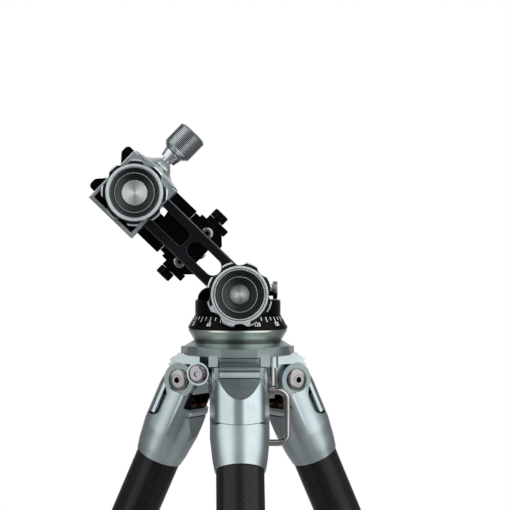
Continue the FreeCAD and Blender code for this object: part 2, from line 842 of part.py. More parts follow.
def upper_housing():
    """Grey block at the arm's end, upright, with its origin on the upper pivot."""
    low, high = housing_low, housing_high
    block = box(housing_left, housing_right, housing_front, housing_back, low, high)
    edges = [edge for edge in block.Edges
             if all(abs(v.Point.y - housing_front) < same_place for v in edge.Vertexes)]
    block = block.makeChamfer(arm_edge, edges)
    pocket = box(housing_left + pocket_rim, pocket_inner, housing_front - overlap,
                 housing_front + pocket_depth, low + pocket_end_rim, high - pocket_end_rim)
    axle = cylinder_y(axle_radius, -far, far, 0, 0)
    grip = facing_right(cylinder(grip_screw_radius + run, -grip_screw_length, far), housing_right,
                        housing_mid, grip_line)
    screws = [moved(screw, 0, 0, -arm_length) for screw in arm_screw_cylinders(run)]
    return cut(block, pocket, axle, grip, *screws)


def flange_boss():
    """Trumpet-shaped flange on the side of the housing, cut flush with its front and back."""
    root = (housing_high - housing_low) / 2 - break_edge
    profile = [(0, 0), (root, 0), (root, flange_edge), (flange_mid_radius, flange_mid_height),
               (flange_neck_radius + flange_curve[0], flange_neck_height - flange_curve[1]),
               (flange_neck_radius, flange_neck_height),
               (flange_top_radius + flange_top_bevel[0], flange_height - flange_top_bevel[1]),
               (flange_top_radius, flange_height), (0, flange_height)]
    boss = facing_right(turned(profile), housing_right, housing_mid, grip_line)
    slab = box(-far, far, housing_front, housing_back, -far, far)
    bore = facing_right(cylinder(grip_screw_radius + run, -overlap, far), housing_right,
                        housing_mid, grip_line)
    return boss.common(slab).cut(bore)


def ribbed_knob():
    """Ring-ridged grip with its conical neck, pointing along +X from the flange."""
    z = flange_height + slip
    profile = [(0, z), (grip_stem_radius, z)]
    z += grip_stem_length
    profile += [(grip_stem_radius, z), (grip_cone_start, z)]
    z += grip_cone_length
    profile += [(grip_cone_mid, z), (grip_cone_mid - grip_cone_groove, z),
                (grip_cone_mid - grip_cone_groove, z + grip_groove_width),
                (grip_cone_mid + grip_groove_step, z + grip_groove_width)]
    z += grip_flare_length
    profile.append((grip_radius, z))
    pitch = grip_length / grip_ridges
    for k in range(grip_ridges):
        profile += [(grip_radius - sink * grip_ridge_depth, z + (k + share) * pitch)
                    for share, sink in grip_ridge_steps]
    z += grip_length
    profile += [(grip_radius, z), (grip_radius - grip_bevel, z + grip_chamfer),
                (0, z + grip_chamfer)]
    screw = cylinder(grip_screw_radius, -grip_screw_length + slip, flange_height + slip + overlap)
    return facing_right(turned(profile).fuse(screw), housing_right, housing_mid, grip_line)


def upper_axle():
    shaft = cylinder_y(axle_radius, knob_back - knob_bore_depth + slip,
                       cradle_back + slip + axle_nut_height, 0, 0)
    nut = cylinder_y(axle_nut_radius, cradle_back + slip, cradle_back + slip + axle_nut_height, 0, 0)
    return shaft.fuse(nut).removeSplitter()


# ---------------------------------------------------------------- cradle, carriage and clamp
def cradle_arm():
    """Plate that hangs on the upper axle, with two prongs above and a tongue below."""
    notch_low = cradle_top - cradle_notch_depth
    middle = cradle_centre
    outline = [(cradle_left, cradle_bottom), (cradle_left, cradle_top),
               (middle - cradle_notch_half, cradle_top), (middle - cradle_notch_base, notch_low),
               (middle + cradle_notch_base, notch_low), (middle + cradle_notch_half, cradle_top),
               (cradle_right, cradle_top), (cradle_right, cradle_bottom)]
    plate = prism_xz(outline, cradle_front, cradle_back)
    tips = [edge for edge in plate.Edges
            if all(abs(v.Point.z - cradle_top) < same_place for v in edge.Vertexes)
            and abs(edge.Vertexes[0].Point.x - edge.Vertexes[-1].Point.x) < same_place]
    plate = plate.makeFillet(cradle_corner, tips)
    tongue = box(middle - tongue_half_width, middle + tongue_half_width, tongue_front,
                 tongue_front + tongue_thickness, tongue_end, cradle_bottom + overlap)
    window = box(cradle_window_left, cradle_window_right, -far, far, cradle_window_bottom,
                 cradle_window_top)
    bore = cylinder_y(axle_radius + run, -far, far, 0, 0)
    return cut(joined([plate, tongue]), window, bore)


def carriage():
    """Block that slides on the cradle's tongue."""
    left = carriage_centre - carriage_half_width
    right = carriage_centre + carriage_half_width
    c = carriage_corner
    notch_left = carriage_centre - carriage_notch_half
    notch_right = carriage_centre + carriage_notch_half
    notch_top = carriage_bottom + carriage_notch_depth
    block = prism_xz([(left, carriage_top), (left, carriage_bottom + c), (left + c, carriage_bottom),
                      (notch_left, carriage_bottom), (notch_left + carriage_notch_slant, notch_top),
                      (notch_right - carriage_notch_slant, notch_top),
                      (notch_right, carriage_bottom), (right - c, carriage_bottom),
                      (right, carriage_bottom + c), (right, carriage_top)],
                     carriage_front, carriage_back)
    lugs = []
    for x0, x1 in ((left - thumb_plate_height, left + overlap),
                   (right - overlap, right + thumb_plate_height)):
        lugs.append(box(x0, x1, carriage_front + lug_inset, carriage_back - lug_inset,
                        thumb_plate_bottom, thumb_plate_top))
    collar = box(left + collar_inset, right - collar_inset, carriage_front + lug_inset,
                 carriage_back - lug_inset, carriage_top - overlap, cradle_bottom - slip)
    body = joined([block, collar] + lugs)
    channel = box(cradle_centre - tongue_half_width - slip, cradle_centre + tongue_half_width + slip,
                  tongue_front - slip, tongue_front + tongue_thickness + slip, -2 * far, far)
    bores = [cylinder_x(thumb_screw_radius + run, -far, far, thumb_depth(), thumb_line)]
    for x in button_places():
        bores.append(cylinder_y(button_shank_radius + run, -far,
                                carriage_front + button_shank_length, x, button_height_line))
    return cut(body, channel, *bores)


def thumb_depth():
    return tongue_front + tongue_thickness / 2


def button_places():
    return (button_centre - button_spacing, button_centre + button_spacing)


def carriage_screws():
    head = turned([(0, 0), (button_radius, 0), (button_radius, button_edge),
                   (button_radius - button_bevel, button_height), (0, button_height)])
    socket = hexagon(button_socket_radius, button_height - button_socket_depth, far)
    screws = []
    for x in button_places():
        screw = head.cut(socket).fuse(cylinder(button_shank_radius, -button_shank_length, 0))
        screws.append(facing_front(screw, x, carriage_front, button_height_line))
    return Part.makeCompound(screws)


def thumb_knob(side):
    """Fluted thumb screw that locks the carriage; side is 1 for the right and -1 for the left."""
    seat = carriage_half_width + thumb_plate_height + slip
    top = seat + thumb_height
    head = turned([(0, seat), (thumb_radius - thumb_edge, seat), (thumb_radius, seat + thumb_edge),
                   (thumb_radius, top - thumb_edge), (thumb_radius - thumb_edge, top), (0, top)])
    flute = cylinder(thumb_flute_radius, seat + thumb_flute_margin, top - thumb_flute_margin)
    for k in range(thumb_flutes):
        x, y = polar(thumb_radius + thumb_flute_offset, 360 / thumb_flutes * k)
        head = head.cut(moved(flute, x, y))
    tip = tongue_half_width + slip + side * (cradle_centre - carriage_centre)
    knob = head.fuse(cylinder(thumb_screw_radius, tip, seat + overlap))
    turn = facing_right if side > 0 else facing_left
    return turn(knob, carriage_centre, thumb_depth(), thumb_line)


def jaw_outline(direction, face):
    """Outline (y, z) of a dovetail jaw above the clamp floor; direction points to the channel."""
    d = direction
    top = clamp_jaw_top
    tip = face + d * jaw_undercut
    back = face - d * jaw_thickness
    return [(back, clamp_floor - overlap), (back, top), (tip, top), (tip, top - jaw_lip),
            (face, clamp_floor + jaw_foot), (face, clamp_floor - overlap)]


def clamp_faces():
    fixed = carriage_back + jaw_thickness
    return fixed, fixed + clamp_channel


def slab_end():
    return clamp_faces()[1] - slip


def clamp_base():
    """Slab with the fixed jaw, bolted to the back of the carriage."""
    left = carriage_centre - carriage_half_width
    right = carriage_centre + carriage_half_width
    fixed_face = clamp_faces()[0]
    c = carriage_corner
    low = clamp_slab_bottom
    slab = prism_xz([(left, clamp_floor), (left, low + c), (left + c, low), (right - c, low),
                     (right, low + c), (right, clamp_floor)], carriage_back, slab_end())
    jaw = prism_yz(jaw_outline(1, fixed_face), left, right)
    pins = [cylinder_y(guide_pin_radius, slab_end() - overlap,
                       slab_end() + slip + jaw_travel + guide_pin_reach, carriage_centre + x,
                       clamp_screw_line)
            for x in (-guide_pin_spread, guide_pin_spread)]
    body = joined([slab, jaw] + pins)
    screw = cylinder_y(clamp_screw_radius + run, slab_end() - clamp_screw_room, far + slab_end(),
                       clamp_screw_b, clamp_screw_line)
    return body.cut(screw)


def jaw_depth():
    return jaw_travel + jaw_back_depth


def clamp_jaw():
    """Moving jaw, closed against the slab's end."""
    left = carriage_centre - carriage_half_width
    right = carriage_centre + carriage_half_width
    c = carriage_corner
    low = clamp_slab_bottom
    start = clamp_faces()[1]
    lower = prism_xz([(left, clamp_floor + slip), (left, low + c), (left + c, low), (right - c, low),
                      (right, low + c), (right, clamp_floor + slip)], start, start + jaw_depth())
    upper = prism_yz([(y, max(z, clamp_floor + slip)) for y, z in jaw_outline(-1, start)], left, right)
    fill = box(left, right, start, start + jaw_depth(), clamp_floor,
               clamp_jaw_top - jaw_fill_drop)
    body = joined([lower, upper, fill])
    guide_end = start + jaw_travel + guide_pin_reach + guide_pin_room
    guides = [cylinder_y(guide_pin_radius + run, -far, guide_end,
                         carriage_centre + x, clamp_screw_line)
              for x in (-guide_pin_spread, guide_pin_spread)]
    screw = cylinder_y(clamp_screw_radius + run, -far, far + start, clamp_screw_b, clamp_screw_line)
    return cut(body, screw, *guides)


def clamp_knob():
    seat = clamp_faces()[1] + jaw_depth() + slip
    r = clamp_knob_radius
    top = clamp_knob_height
    head = turned([(0, 0), (r - clamp_knob_seat_inset, 0), (r, clamp_knob_seat_height),
                   (r, top - clamp_knob_edge), (r - clamp_knob_edge, top), (0, top)])
    flute = cylinder(clamp_flute_radius, clamp_flute_low, top - clamp_flute_high)
    for k in range(thumb_flutes):
        x, y = polar(r + clamp_flute_offset, 360 / thumb_flutes * k)
        head = head.cut(moved(flute, x, y))
    screw = cylinder(clamp_screw_radius, slab_end() - clamp_screw_grip - seat, overlap)
    return facing_back(head.fuse(screw), clamp_screw_b, seat, clamp_screw_line)


# ---------------------------------------------------------------- legs
def tab_block(play):
    """Outline solid of the angle tab, grown by a play on its sides and lower edge."""
    half = tab_half_width + play
    sag = tab_side_bottom - tab_bottom
    arc_radius = (tab_half_width ** 2 + sag ** 2) / (2 * sag) + play
    centre = tab_bottom - play + arc_radius
    rounded = Part.makeCylinder(arc_radius, far, Vector(0, 0, centre), X_AXIS)
    tall = box(0, far, -half, half, centre, far)
    keep = box(0, far, -half, half, -far, far)
    return rounded.fuse(tall).common(keep)


def leg_casting():
    """Top casting of a leg, upright, with its origin on the pivot and +X outwards."""
    low = -casting_length
    r = casting_radius
    barrel = turned([(0, low), (casting_lip_radius, low),
                     (casting_waist_radius, low + casting_waist_height),
                     (r, low + casting_taper_height), (r, tab_top), (0, tab_top)])
    inner_cut = prism_xz([(-r - overlap, inner_flat_bottom), (-r + inner_flat_depth, inner_flat_top),
                          (ear_back, inner_flat_top), (ear_back, far), (-far, far),
                          (-far, inner_flat_bottom)], -far, far)
    barrel = barrel.cut(inner_cut)
    boss = cylinder_y(boss_radius, -ear_face, ear_face, 0, 0)
    body = joined([barrel, boss])
    slot = box(-far, far, -slot_half_width, slot_half_width, slot_floor, far)
    faces = [cylinder_y(bolt_cap_radius + bolt_cap_room, ear_face, far, 0, 0),
             cylinder_y(bolt_cap_radius + bolt_cap_room, -far, -ear_face, 0, 0)]
    above = box(-far, far, -far, far, -bolt_cap_radius, far)
    caps_room = [above.common(box(-far, far, ear_face, far, -far, far)),
                 above.common(box(-far, far, -far, -ear_face, -far, far))]
    back = box(tab_flange_reach - slip, far, -far, far, -far, far)
    pocket = tab_block(slip).common(back)
    fingers = []
    for side in (-1, 1):
        y0, y1 = sorted((side * finger_side, side * far))
        fingers.append(cylinder_y(finger_radius, y0, y1, finger_reach, -finger_drop))
    socket = cylinder(upper_tube_radius + run, low - overlap, tube_socket_top)
    core = cylinder(casting_core_radius, low, slot_floor + overlap)
    bore = cylinder_y(bolt_radius + 2 * run, -far, far, 0, 0)
    groove_top = inner_flat_top - latch_groove_drop
    groove = box(-far, -r + inner_flat_depth + latch_groove_depth, -slot_half_width, slot_half_width,
                 groove_top - latch_groove_height, groove_top)
    return cut(body, slot, *faces, *caps_room, pocket, *fingers, socket, core, bore, groove)


def angle_tab():
    """Pull-out tab that sets the leg angle, its back hollowed over the lug."""
    top = tab_top
    outer = casting_radius
    barrel = cylinder(outer, -far, top)
    block = tab_block(0).common(barrel).common(box(tab_flange_reach, far, -far, far, -far, far))
    face_back = outer - tab_face_thickness
    inner_half = tab_half_width - tab_flange_thickness
    hollow = box(-far, face_back, -inner_half, inner_half, -far, far)
    flat = prism_xz([(outer - tab_flat_depth, top), (outer, top - tab_flat_length),
                     (outer + overlap, top - tab_flat_length), (outer + overlap, top + overlap),
                     (outer - tab_flat_depth, top + overlap)], -far, far)
    return cut(block, hollow, flat)


def tube(radius, start, end):
    inside = cylinder(radius - tube_wall, -end - overlap, -start + overlap)
    return cylinder(radius, -end, -start).cut(inside)


def twist_lock(tube_radius, inner_radius, start, length, tube_end):
    """Collar with flats at the end of one tube, which grips the next tube inside it."""
    outer = tube_radius + lock_wall
    low, high = -(start + length), -start
    collar = turned([(0, low), (outer - lock_low_bevel, low), (outer, low + lock_low_bevel_height),
                     (outer, high - lock_high_bevel_height), (outer - lock_high_bevel, high),
                     (0, high)])
    for k in range(lock_flats):
        flat = box(outer - lock_flat_depth, far, -far, far, low + lock_grip_low, high - lock_grip_high)
        collar = collar.cut(rotated(flat, Z_AXIS, 360 / lock_flats * k))
    upper_room = cylinder(tube_radius + slip, -(tube_end + slip), high + overlap)
    return cut(collar, upper_room, cylinder(inner_radius + slip, low - overlap, high + overlap))


def foot():
    """Rubber foot over the end of the lowest tube, with a ball-shaped tread."""
    ball_centre = -(leg_end - foot_radius)
    sleeve = turned([(0, ball_centre), (foot_radius, ball_centre),
                     (foot_radius, -foot_start - foot_bevel_height),
                     (foot_radius - foot_bevel, -foot_start), (0, -foot_start)])
    ball = Part.makeSphere(foot_radius, Vector(0, 0, ball_centre))
    room = cylinder(lower_tube_radius + run, -lower_tube_end, 0)
    return joined([sleeve, ball]).cut(room)


def leg_pieces():
    """Pieces of one leg in its upright frame, by the first part of their names."""
    return {
        "leg_casting": leg_casting(),
        "angle_tab": angle_tab(),
        "upper_tube": tube(upper_tube_radius, -tube_socket_top, upper_tube_end),
        "middle_tube": tube(middle_tube_radius, middle_tube_start, middle_tube_end),
        "lower_tube": tube(lower_tube_radius, lower_tube_start, lower_tube_end),
        "upper_lock": twist_lock(upper_tube_radius, middle_tube_radius, upper_lock_start,
                                 upper_lock_length, upper_tube_end),
        "lower_lock": twist_lock(middle_tube_radius, lower_tube_radius, lower_lock_start,
                                 lower_lock_length, middle_tube_end),
        "foot": foot(),
    }


# ---------------------------------------------------------------- all pieces
def all_pieces():
    pieces = {
        "shoulder": shoulder(),
        "mounting_stud": mounting_stud(),
        "pivot_bolts": pivot_bolts(),
        "accessory_plug": accessory_plug(),
        "bail_post": bail_post(),
        "hanging_bail": hanging_bail(),
        "base_ring": base_ring(),
        "scale_ring": scale_ring(),
        "pan_spindle": pan_spindle(),
        "spindle_nut": spindle_nut(),
        "pan_drum": pan_drum(),
        "pan_yoke": pan_yoke(),
        "lower_axle": lower_axle(),
        "pan_lock_knob": pan_lock_knob(),
        "lower_arm": at_lower_pivot(lower_arm()),
        "arm_screws": at_lower_pivot(Part.makeCompound(arm_screw_cylinders(0))),
        "lower_knob": lower_knob_place(lobed_knob(lower_dish)),
        "lower_knob_disc": lower_knob_place(knob_disc(lower_dish)),
        "upper_knob": upper_knob_place(lobed_knob(upper_dish)),
        "upper_knob_disc": upper_knob_place(knob_disc(upper_dish)),
        "upper_housing": at_upper_pivot(upper_housing()),
        "flange_boss": at_upper_pivot(flange_boss()),
        "ribbed_knob": at_upper_pivot(ribbed_knob()),
        "upper_axle": at_upper_pivot(upper_axle()),
        "cradle_arm": at_upper_pivot(cradle_arm()),
        "carriage": at_upper_pivot(carriage()),
        "carriage_screws": at_upper_pivot(carriage_screws()),
        "thumb_knob_right": at_upper_pivot(thumb_knob(1)),
        "thumb_knob_left": at_upper_pivot(thumb_knob(-1)),
        "clamp_base": at_upper_pivot(clamp_base()),
        "clamp_jaw": at_upper_pivot(clamp_jaw()),
        "clamp_knob": at_upper_pivot(clamp_knob()),
    }
    leg = leg_pieces()
    for side, azimuth in leg_azimuths.items():
        for name, shape in leg.items():
            pieces[name + "_" + side] = at_leg(shape, azimuth)
    return pieces


for piece_name, piece_shape in all_pieces().items():
    piece_shape.exportStep("parts/" + piece_name + ".step")
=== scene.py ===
"""Looks of a tilting mount head on a carbon stand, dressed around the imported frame.

Every length is in metres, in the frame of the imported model: +Z is the pan axis, -Y faces the front
leg, and the arm leans towards -X.
"""

import json
import logging
import math
from dataclasses import dataclass, field
from enum import Enum
from functools import lru_cache
from typing import Callable, Optional, Union

import bmesh
import bpy
from mathutils.bvhtree import BVHTree
from mathutils import Matrix, Vector


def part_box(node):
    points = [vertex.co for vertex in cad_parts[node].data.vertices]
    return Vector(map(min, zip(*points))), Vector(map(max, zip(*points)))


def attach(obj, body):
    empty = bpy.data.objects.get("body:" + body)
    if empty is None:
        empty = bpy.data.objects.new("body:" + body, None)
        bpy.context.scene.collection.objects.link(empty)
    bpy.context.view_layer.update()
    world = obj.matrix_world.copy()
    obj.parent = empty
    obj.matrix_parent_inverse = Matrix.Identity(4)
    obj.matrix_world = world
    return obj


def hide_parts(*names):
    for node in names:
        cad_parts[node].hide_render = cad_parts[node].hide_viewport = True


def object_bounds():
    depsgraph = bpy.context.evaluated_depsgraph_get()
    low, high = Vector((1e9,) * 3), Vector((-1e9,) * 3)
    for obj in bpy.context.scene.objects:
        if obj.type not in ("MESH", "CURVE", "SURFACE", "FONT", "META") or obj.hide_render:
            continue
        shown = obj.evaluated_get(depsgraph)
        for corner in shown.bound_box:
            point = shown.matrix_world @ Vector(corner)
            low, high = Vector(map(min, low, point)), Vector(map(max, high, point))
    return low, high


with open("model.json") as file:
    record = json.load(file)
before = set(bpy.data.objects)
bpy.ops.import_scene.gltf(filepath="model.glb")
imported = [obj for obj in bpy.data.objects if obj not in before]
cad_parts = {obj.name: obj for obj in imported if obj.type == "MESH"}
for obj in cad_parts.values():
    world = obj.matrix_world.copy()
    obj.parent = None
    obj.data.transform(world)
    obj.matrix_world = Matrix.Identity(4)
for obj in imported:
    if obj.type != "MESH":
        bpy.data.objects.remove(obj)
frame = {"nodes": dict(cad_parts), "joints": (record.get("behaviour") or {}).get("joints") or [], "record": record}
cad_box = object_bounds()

log = logging.getLogger("mount_head")

Mesh = bmesh.types.BMesh
Ring = list[bmesh.types.BMVert]
Piece = bpy.types.Object
Face = bpy.types.MeshPolygon
Socket = bpy.types.NodeSocket
Colour = tuple[float, float, float]
Profile = list[tuple[float, float]]
Band = tuple[float, float]

UP = Vector((0.0, 0.0, 1.0))
FLAT_COSINE = 0.998
SQUARE_COSINE = 0.999
FLATS_WEIGHT = 80


# --- frame readings
def joint_record(name: str) -> dict:
    """Returns the frame's record of a joint, with its axis and place."""
    return next(entry for entry in frame["joints"] if entry["name"] == name)


def joint_place(name: str) -> Vector:
    """Returns the point that a hinge of the frame turns about."""
    return Vector(joint_record(name)["pos_m"])


def joint_axis(name: str) -> Vector:
    """Returns the unit axis of a joint of the frame."""
    return Vector(joint_record(name)["axis"]).normalized()


def cad_mesh(node: str) -> bpy.types.Mesh:
    """Returns the mesh of a node of the frame."""
    return frame["nodes"][node].data


def body_of(node: str) -> str:
    """Returns the name of the body that a node of the frame rides on."""
    bodies = frame["record"]["behaviour"]["bodies"]
    return next(body for body, nodes in bodies.items() if node in nodes)


class Pin(Enum):
    """Joints of the head whose places and axes the dressing starts from."""

    GRIP = "grip_turn"
    UPPER_KNOB = "upper_knob_turn"
    LOWER_KNOB = "lower_knob_turn"

    @property
    def centre(self) -> Vector:
        """Returns the point that the joint turns about."""
        return joint_place(self.value)

    @property
    def axis(self) -> Vector:
        """Returns the joint's unit axis, out of the knob's face."""
        return joint_axis(self.value)

    def locate(self, point: Vector) -> tuple[float, float]:
        """Returns how far a point lies along the joint's axis and how far off it."""
        return along_and_off(point - self.centre, self.axis)


class Side(Enum):
    """The three legs by the names that the frame gives them."""

    FRONT = "front"
    LEFT = "left"
    RIGHT = "right"


def along_and_off(offset: Vector, axis: Vector) -> tuple[float, float]:
    """Returns how far an offset goes along an axis and how far off the axis it lies."""
    depth = offset.dot(axis)
    return depth, (offset - axis * depth).length


def axes_matrix(place: Vector, up: Vector, side: Vector) -> Matrix:
    """Builds the placement of a piece modelled about its own origin.

    Args:
        place: Where the piece's origin goes.
        up: Direction of the piece's own Z axis.
        side: Direction near the piece's own X axis.

    Returns:
        The 4 by 4 placement.
    """
    z = up.normalized()
    y = z.cross(side).normalized()
    x = y.cross(z)
    turn = Matrix((x, y, z)).transposed().to_4x4()
    return Matrix.Translation(place) @ turn


# --- shader graphs
NOISE_BAND = (0.3, 0.7)
MIX_SOCKETS = {"RGBA": (6, 2), "FLOAT": (2, 0)}


class Graph:
    """Adds and links the nodes of one material or world, and keeps the wiring short to read."""

    def __init__(self, owner: Union[bpy.types.Material, bpy.types.World]) -> None:
        """Starts an empty graph.

        Args:
            owner: The material or world that the graph belongs to.
        """
        self.owner = owner
        owner.use_nodes = True
        self.tree = owner.node_tree
        self.tree.nodes.clear()
        kind = "World" if isinstance(owner, bpy.types.World) else "Material"
        self.output = self.add("ShaderNodeOutput" + kind)

    def add(self, kind: str, *sources: object, **named: object) -> bpy.types.Node:
        """Adds a node.

        Args:
            kind: The node's type name.
            sources: What its first inputs take.
            named: Its settings, and other inputs by their names with _ for a space.

        Returns:
            The new node.
        """
        node = self.tree.nodes.new(kind)
        for key, value in named.items():
            if key.islower():
                setattr(node, key, value)
            else:
                self.wire(value, node.inputs[key.replace("_", " ")])
        for source, target in zip(sources, node.inputs):
            self.wire(source, target)
        return node

    def wire(self, source: object, target: Socket) -> None:
        """Links a socket to an input, or sets the input to a plain value.

        Args:
            source: An output socket, a number, a vector or a colour.
            target: The input that takes it.
        """
        if isinstance(source, bpy.types.NodeSocket):
            self.tree.links.new(source, target)
        else:
            target.default_value = (*source, 1.0) if target.type == "RGBA" else source

    def maths(self, operation: str, *sources: object) -> Socket:
        """Returns the result of a Math node on up to three numbers or sockets."""
        return self.add("ShaderNodeMath", *sources, operation=operation).outputs[0]

    def vectors(self, operation: str, *sources: object) -> list[Socket]:
        """Returns the outputs of a Vector Math node: a vector, then a number."""
        return list(self.add("ShaderNodeVectorMath", *sources, operation=operation).outputs)

    def point(self, kind: str = "Object") -> Socket:
        """Returns the piece's own coordinates, or with UV its unwrapped ones, in metres."""
        return self.add("ShaderNodeTexCoord").outputs[kind]

    def split(self, vector: Socket) -> list[Socket]:
        """Returns the three numbers of a vector."""
        return list(self.add("ShaderNodeSeparateXYZ", vector).outputs)

    def noise(self, vector: Socket, scale: float, detail: float) -> Socket:
        """Returns a noise of so many features in a metre and so many finer layers."""
        return self.add("ShaderNodeTexNoise", Vector=vector, Scale=scale, Detail=detail).outputs[0]

    def streaks(self, point: Socket, scale: tuple[float, float, float], detail: float) -> Socket:
        """Returns a noise with its own scale along each axis."""
        return self.noise(self.vectors("MULTIPLY", point, scale)[0], 1.0, detail)

    def spread(self, value: Socket, low: float, high: float, start: float = 0.0,
               end: float = 1.0) -> Socket:
        """Maps a value from the range low to high onto start to end, and clamps it."""
        return self.add("ShaderNodeMapRange", value, low, high, start, end).outputs[0]

    def about(self, noise: Socket, middle: float, less: float, more: float) -> Socket:
        """Spreads a noise from less below a middle value to more above it."""
        return self.spread(noise, *NOISE_BAND, middle - less, middle + more)

    def hump(self, value: Socket, centre: float, half: float, soft: float) -> Socket:
        """Gives 1 within half of the centre, and falls softly to 0 over the width beyond."""
        off = self.maths("ABSOLUTE", self.maths("SUBTRACT", value, centre))
        return self.add("ShaderNodeMapRange", off, half, half + soft, 1.0, 0.0,
                        interpolation_type="SMOOTHSTEP").outputs[0]

    def blended(self, amount: object, first: object, second: object, kind: str = "RGBA") -> Socket:
        """Mixes two colours or two numbers.

        Args:
            amount: 0 gives the first, 1 the second.
            first: Value or socket.
            second: Value or socket.
            kind: RGBA for colours, FLOAT for numbers.

        Returns:
            The mixed value.
        """
        node = self.add("ShaderNodeMix", amount, data_type=kind)
        start, result = MIX_SOCKETS[kind]
        self.wire(first, node.inputs[start])
        self.wire(second, node.inputs[start + 1])
        return node.outputs[result]

    def bumped(self, height: Socket, metres: float, strength: float) -> Socket:
        """Turns a height into a normal, 1 standing for so many metres, by a share of the effect."""
        node = self.add("ShaderNodeBump", Strength=strength, Distance=metres, Height=height)
        return node.outputs[0]

    def finished(self, shader: bpy.types.Node) -> Union[bpy.types.Material, bpy.types.World]:
        """Links a shader to the output and returns the owner."""
        self.wire(shader.outputs[0], self.output.inputs["Surface"])
        return self.owner

    def surface(self, *main: object, **others: object) -> bpy.types.Material:
        """Finishes a material by its colour, metal share, roughness and other inputs by name."""
        return self.finished(self.add("ShaderNodeBsdfPrincipled", *main, **others))


# --- finishes
RADIAL = "radial"


def scaled(colour: Colour, factor: float) -> Colour:
    """Returns a lighter or darker colour, held at 1."""
    return tuple(min(1.0, channel * factor) for channel in colour)


@dataclass(frozen=True)
class Finish:
    """A finish that can be asked for its material."""

    name: str

    def graph(self) -> Graph:
        """Starts the material."""
        return Graph(bpy.data.materials.new(self.name))

    def material(self) -> bpy.types.Material:
        """Builds the material."""
        raise NotImplementedError


@dataclass(frozen=True)
class BlastedAnodising(Finish):
    """Bead-blasted and anodised metal, with a fine grain, faint clouds and paler worn edges."""

    colour: Colour
    roughness: float
    metallic: float = 1.0
    grain_height: float = 0.00002
    grain_scale: float = 5200.0
    cloud: float = 0.10
    cloud_scale: float = 38.0
    wear: float = 0.08
    wear_scale: float = 900.0
    edge_band: Band = (0.53, 0.62)
    edge_colour: Colour = (0.62, 0.66, 0.66)
    gloss: float = 0.5
    cloud_band: Band = (0.35, 0.65)
    scratch_band: Band = (0.45, 0.6)
    rough_play: Band = (0.03, 0.04)
    grain_strength: float = 0.6

    def material(self) -> bpy.types.Material:
        """Builds the material."""
        g = self.graph()
        point = g.point()
        clouds = g.noise(point, self.cloud_scale, 2.0)
        grain = g.noise(point, self.grain_scale, 2.0)
        deep, pale = scaled(self.colour, 1.0 - self.cloud), scaled(self.colour, 1.0 + self.cloud)
        base = g.blended(g.spread(clouds, *self.cloud_band), deep, pale)
        edge = g.spread(g.add("ShaderNodeNewGeometry").outputs["Pointiness"], *self.edge_band)
        scratch = g.spread(g.noise(point, self.wear_scale, 3.0), *self.scratch_band)
        worn = g.maths("MULTIPLY", g.maths("MULTIPLY", edge, scratch), self.wear)
        rough = g.about(clouds, self.roughness, *self.rough_play)
        return g.surface(g.blended(worn, base, self.edge_colour), self.metallic, rough,
                         Normal=g.bumped(grain, self.grain_height, self.grain_strength),
                         Specular_IOR_Level=self.gloss)


@dataclass(frozen=True)
class TurnedMetal(Finish):
    """Metal turned on a lathe, with fine rings about an axis through a centre, and painted shade darkening it
    towards its rim.
    """

    colour: Colour
    roughness: float
    centre: tuple[float, float, float]
    axis: tuple[float, float, float]
    ring_pitch: float = 0.00022
    ring_height: float = 0.000008
    broad_share: float = 0.18
    broad_shade: float = 0.86
    anisotropy: float = 0.95
    rim_radius: float = 0.0065
    rim_share: float = 0.8
    broad_band: Band = (0.35, 0.65)
    rough_play: Band = (0.03, 0.04)
    ring_strength: float = 0.3

    def material(self) -> bpy.types.Material:
        """Builds the material."""
        g = self.graph()
        shift = g.vectors("SUBTRACT", g.point(), self.centre)[0]
        depth = g.vectors("DOT_PRODUCT", shift, self.axis)[1]
        reach = g.vectors("LENGTH", shift)[1]
        squares = (g.maths("MULTIPLY", length, length) for length in (reach, depth))
        square = g.maths("SUBTRACT", *squares)
        radius = g.maths("SQRT", g.maths("MAXIMUM", square, 0.0))
        line = g.add("ShaderNodeCombineXYZ", radius).outputs[0]
        rings = g.noise(line, 1.0 / self.ring_pitch, 4.0)
        broad = g.noise(line, self.broad_share / self.ring_pitch, 1.0)
        # Painted shade: the colour darkens from the centre out to rim_radius, down to its share at the rim.
        dark, rim = scaled(self.colour, self.broad_shade), scaled(self.colour, self.rim_share)
        base = g.blended(g.spread(broad, *self.broad_band), dark, self.colour)
        base = g.blended(g.spread(radius, 0.0, self.rim_radius), base, rim)
        return g.surface(base, 1.0, g.about(rings, self.roughness, *self.rough_play),
                         Normal=g.bumped(rings, self.ring_height, self.ring_strength),
                         Tangent=shift, Anisotropic=self.anisotropy)


@dataclass(frozen=True)
class TurnedHead(Finish):
    """Bright metal of screw heads faced on a lathe, each about its own axis."""

    colour: Colour
    roughness: float
    anisotropy: float = 0.75
    scuff_scale: float = 900.0
    scuff_height: float = 0.000004
    scuff_shade: float = 0.8
    scuff_band: Band = (0.45, 0.75)
    rough_play: Band = (0.04, 0.05)
    scuff_strength: float = 0.3

    def material(self) -> bpy.types.Material:
        """Builds the material."""
        g = self.graph()
        radial = g.add("ShaderNodeAttribute", attribute_name=RADIAL).outputs["Vector"]
        turned = g.add("ShaderNodeVectorTransform", radial, vector_type="VECTOR",
                       convert_from="OBJECT", convert_to="WORLD")
        scuffs = g.noise(g.point(), self.scuff_scale, 4.0)
        dull = scaled(self.colour, self.scuff_shade)
        return g.surface(g.blended(g.spread(scuffs, *self.scuff_band), self.colour, dull), 1.0,
                         g.about(scuffs, self.roughness, *self.rough_play),
                         Normal=g.bumped(scuffs, self.scuff_height, self.scuff_strength),
                         Tangent=turned.outputs[0], Anisotropic=self.anisotropy)


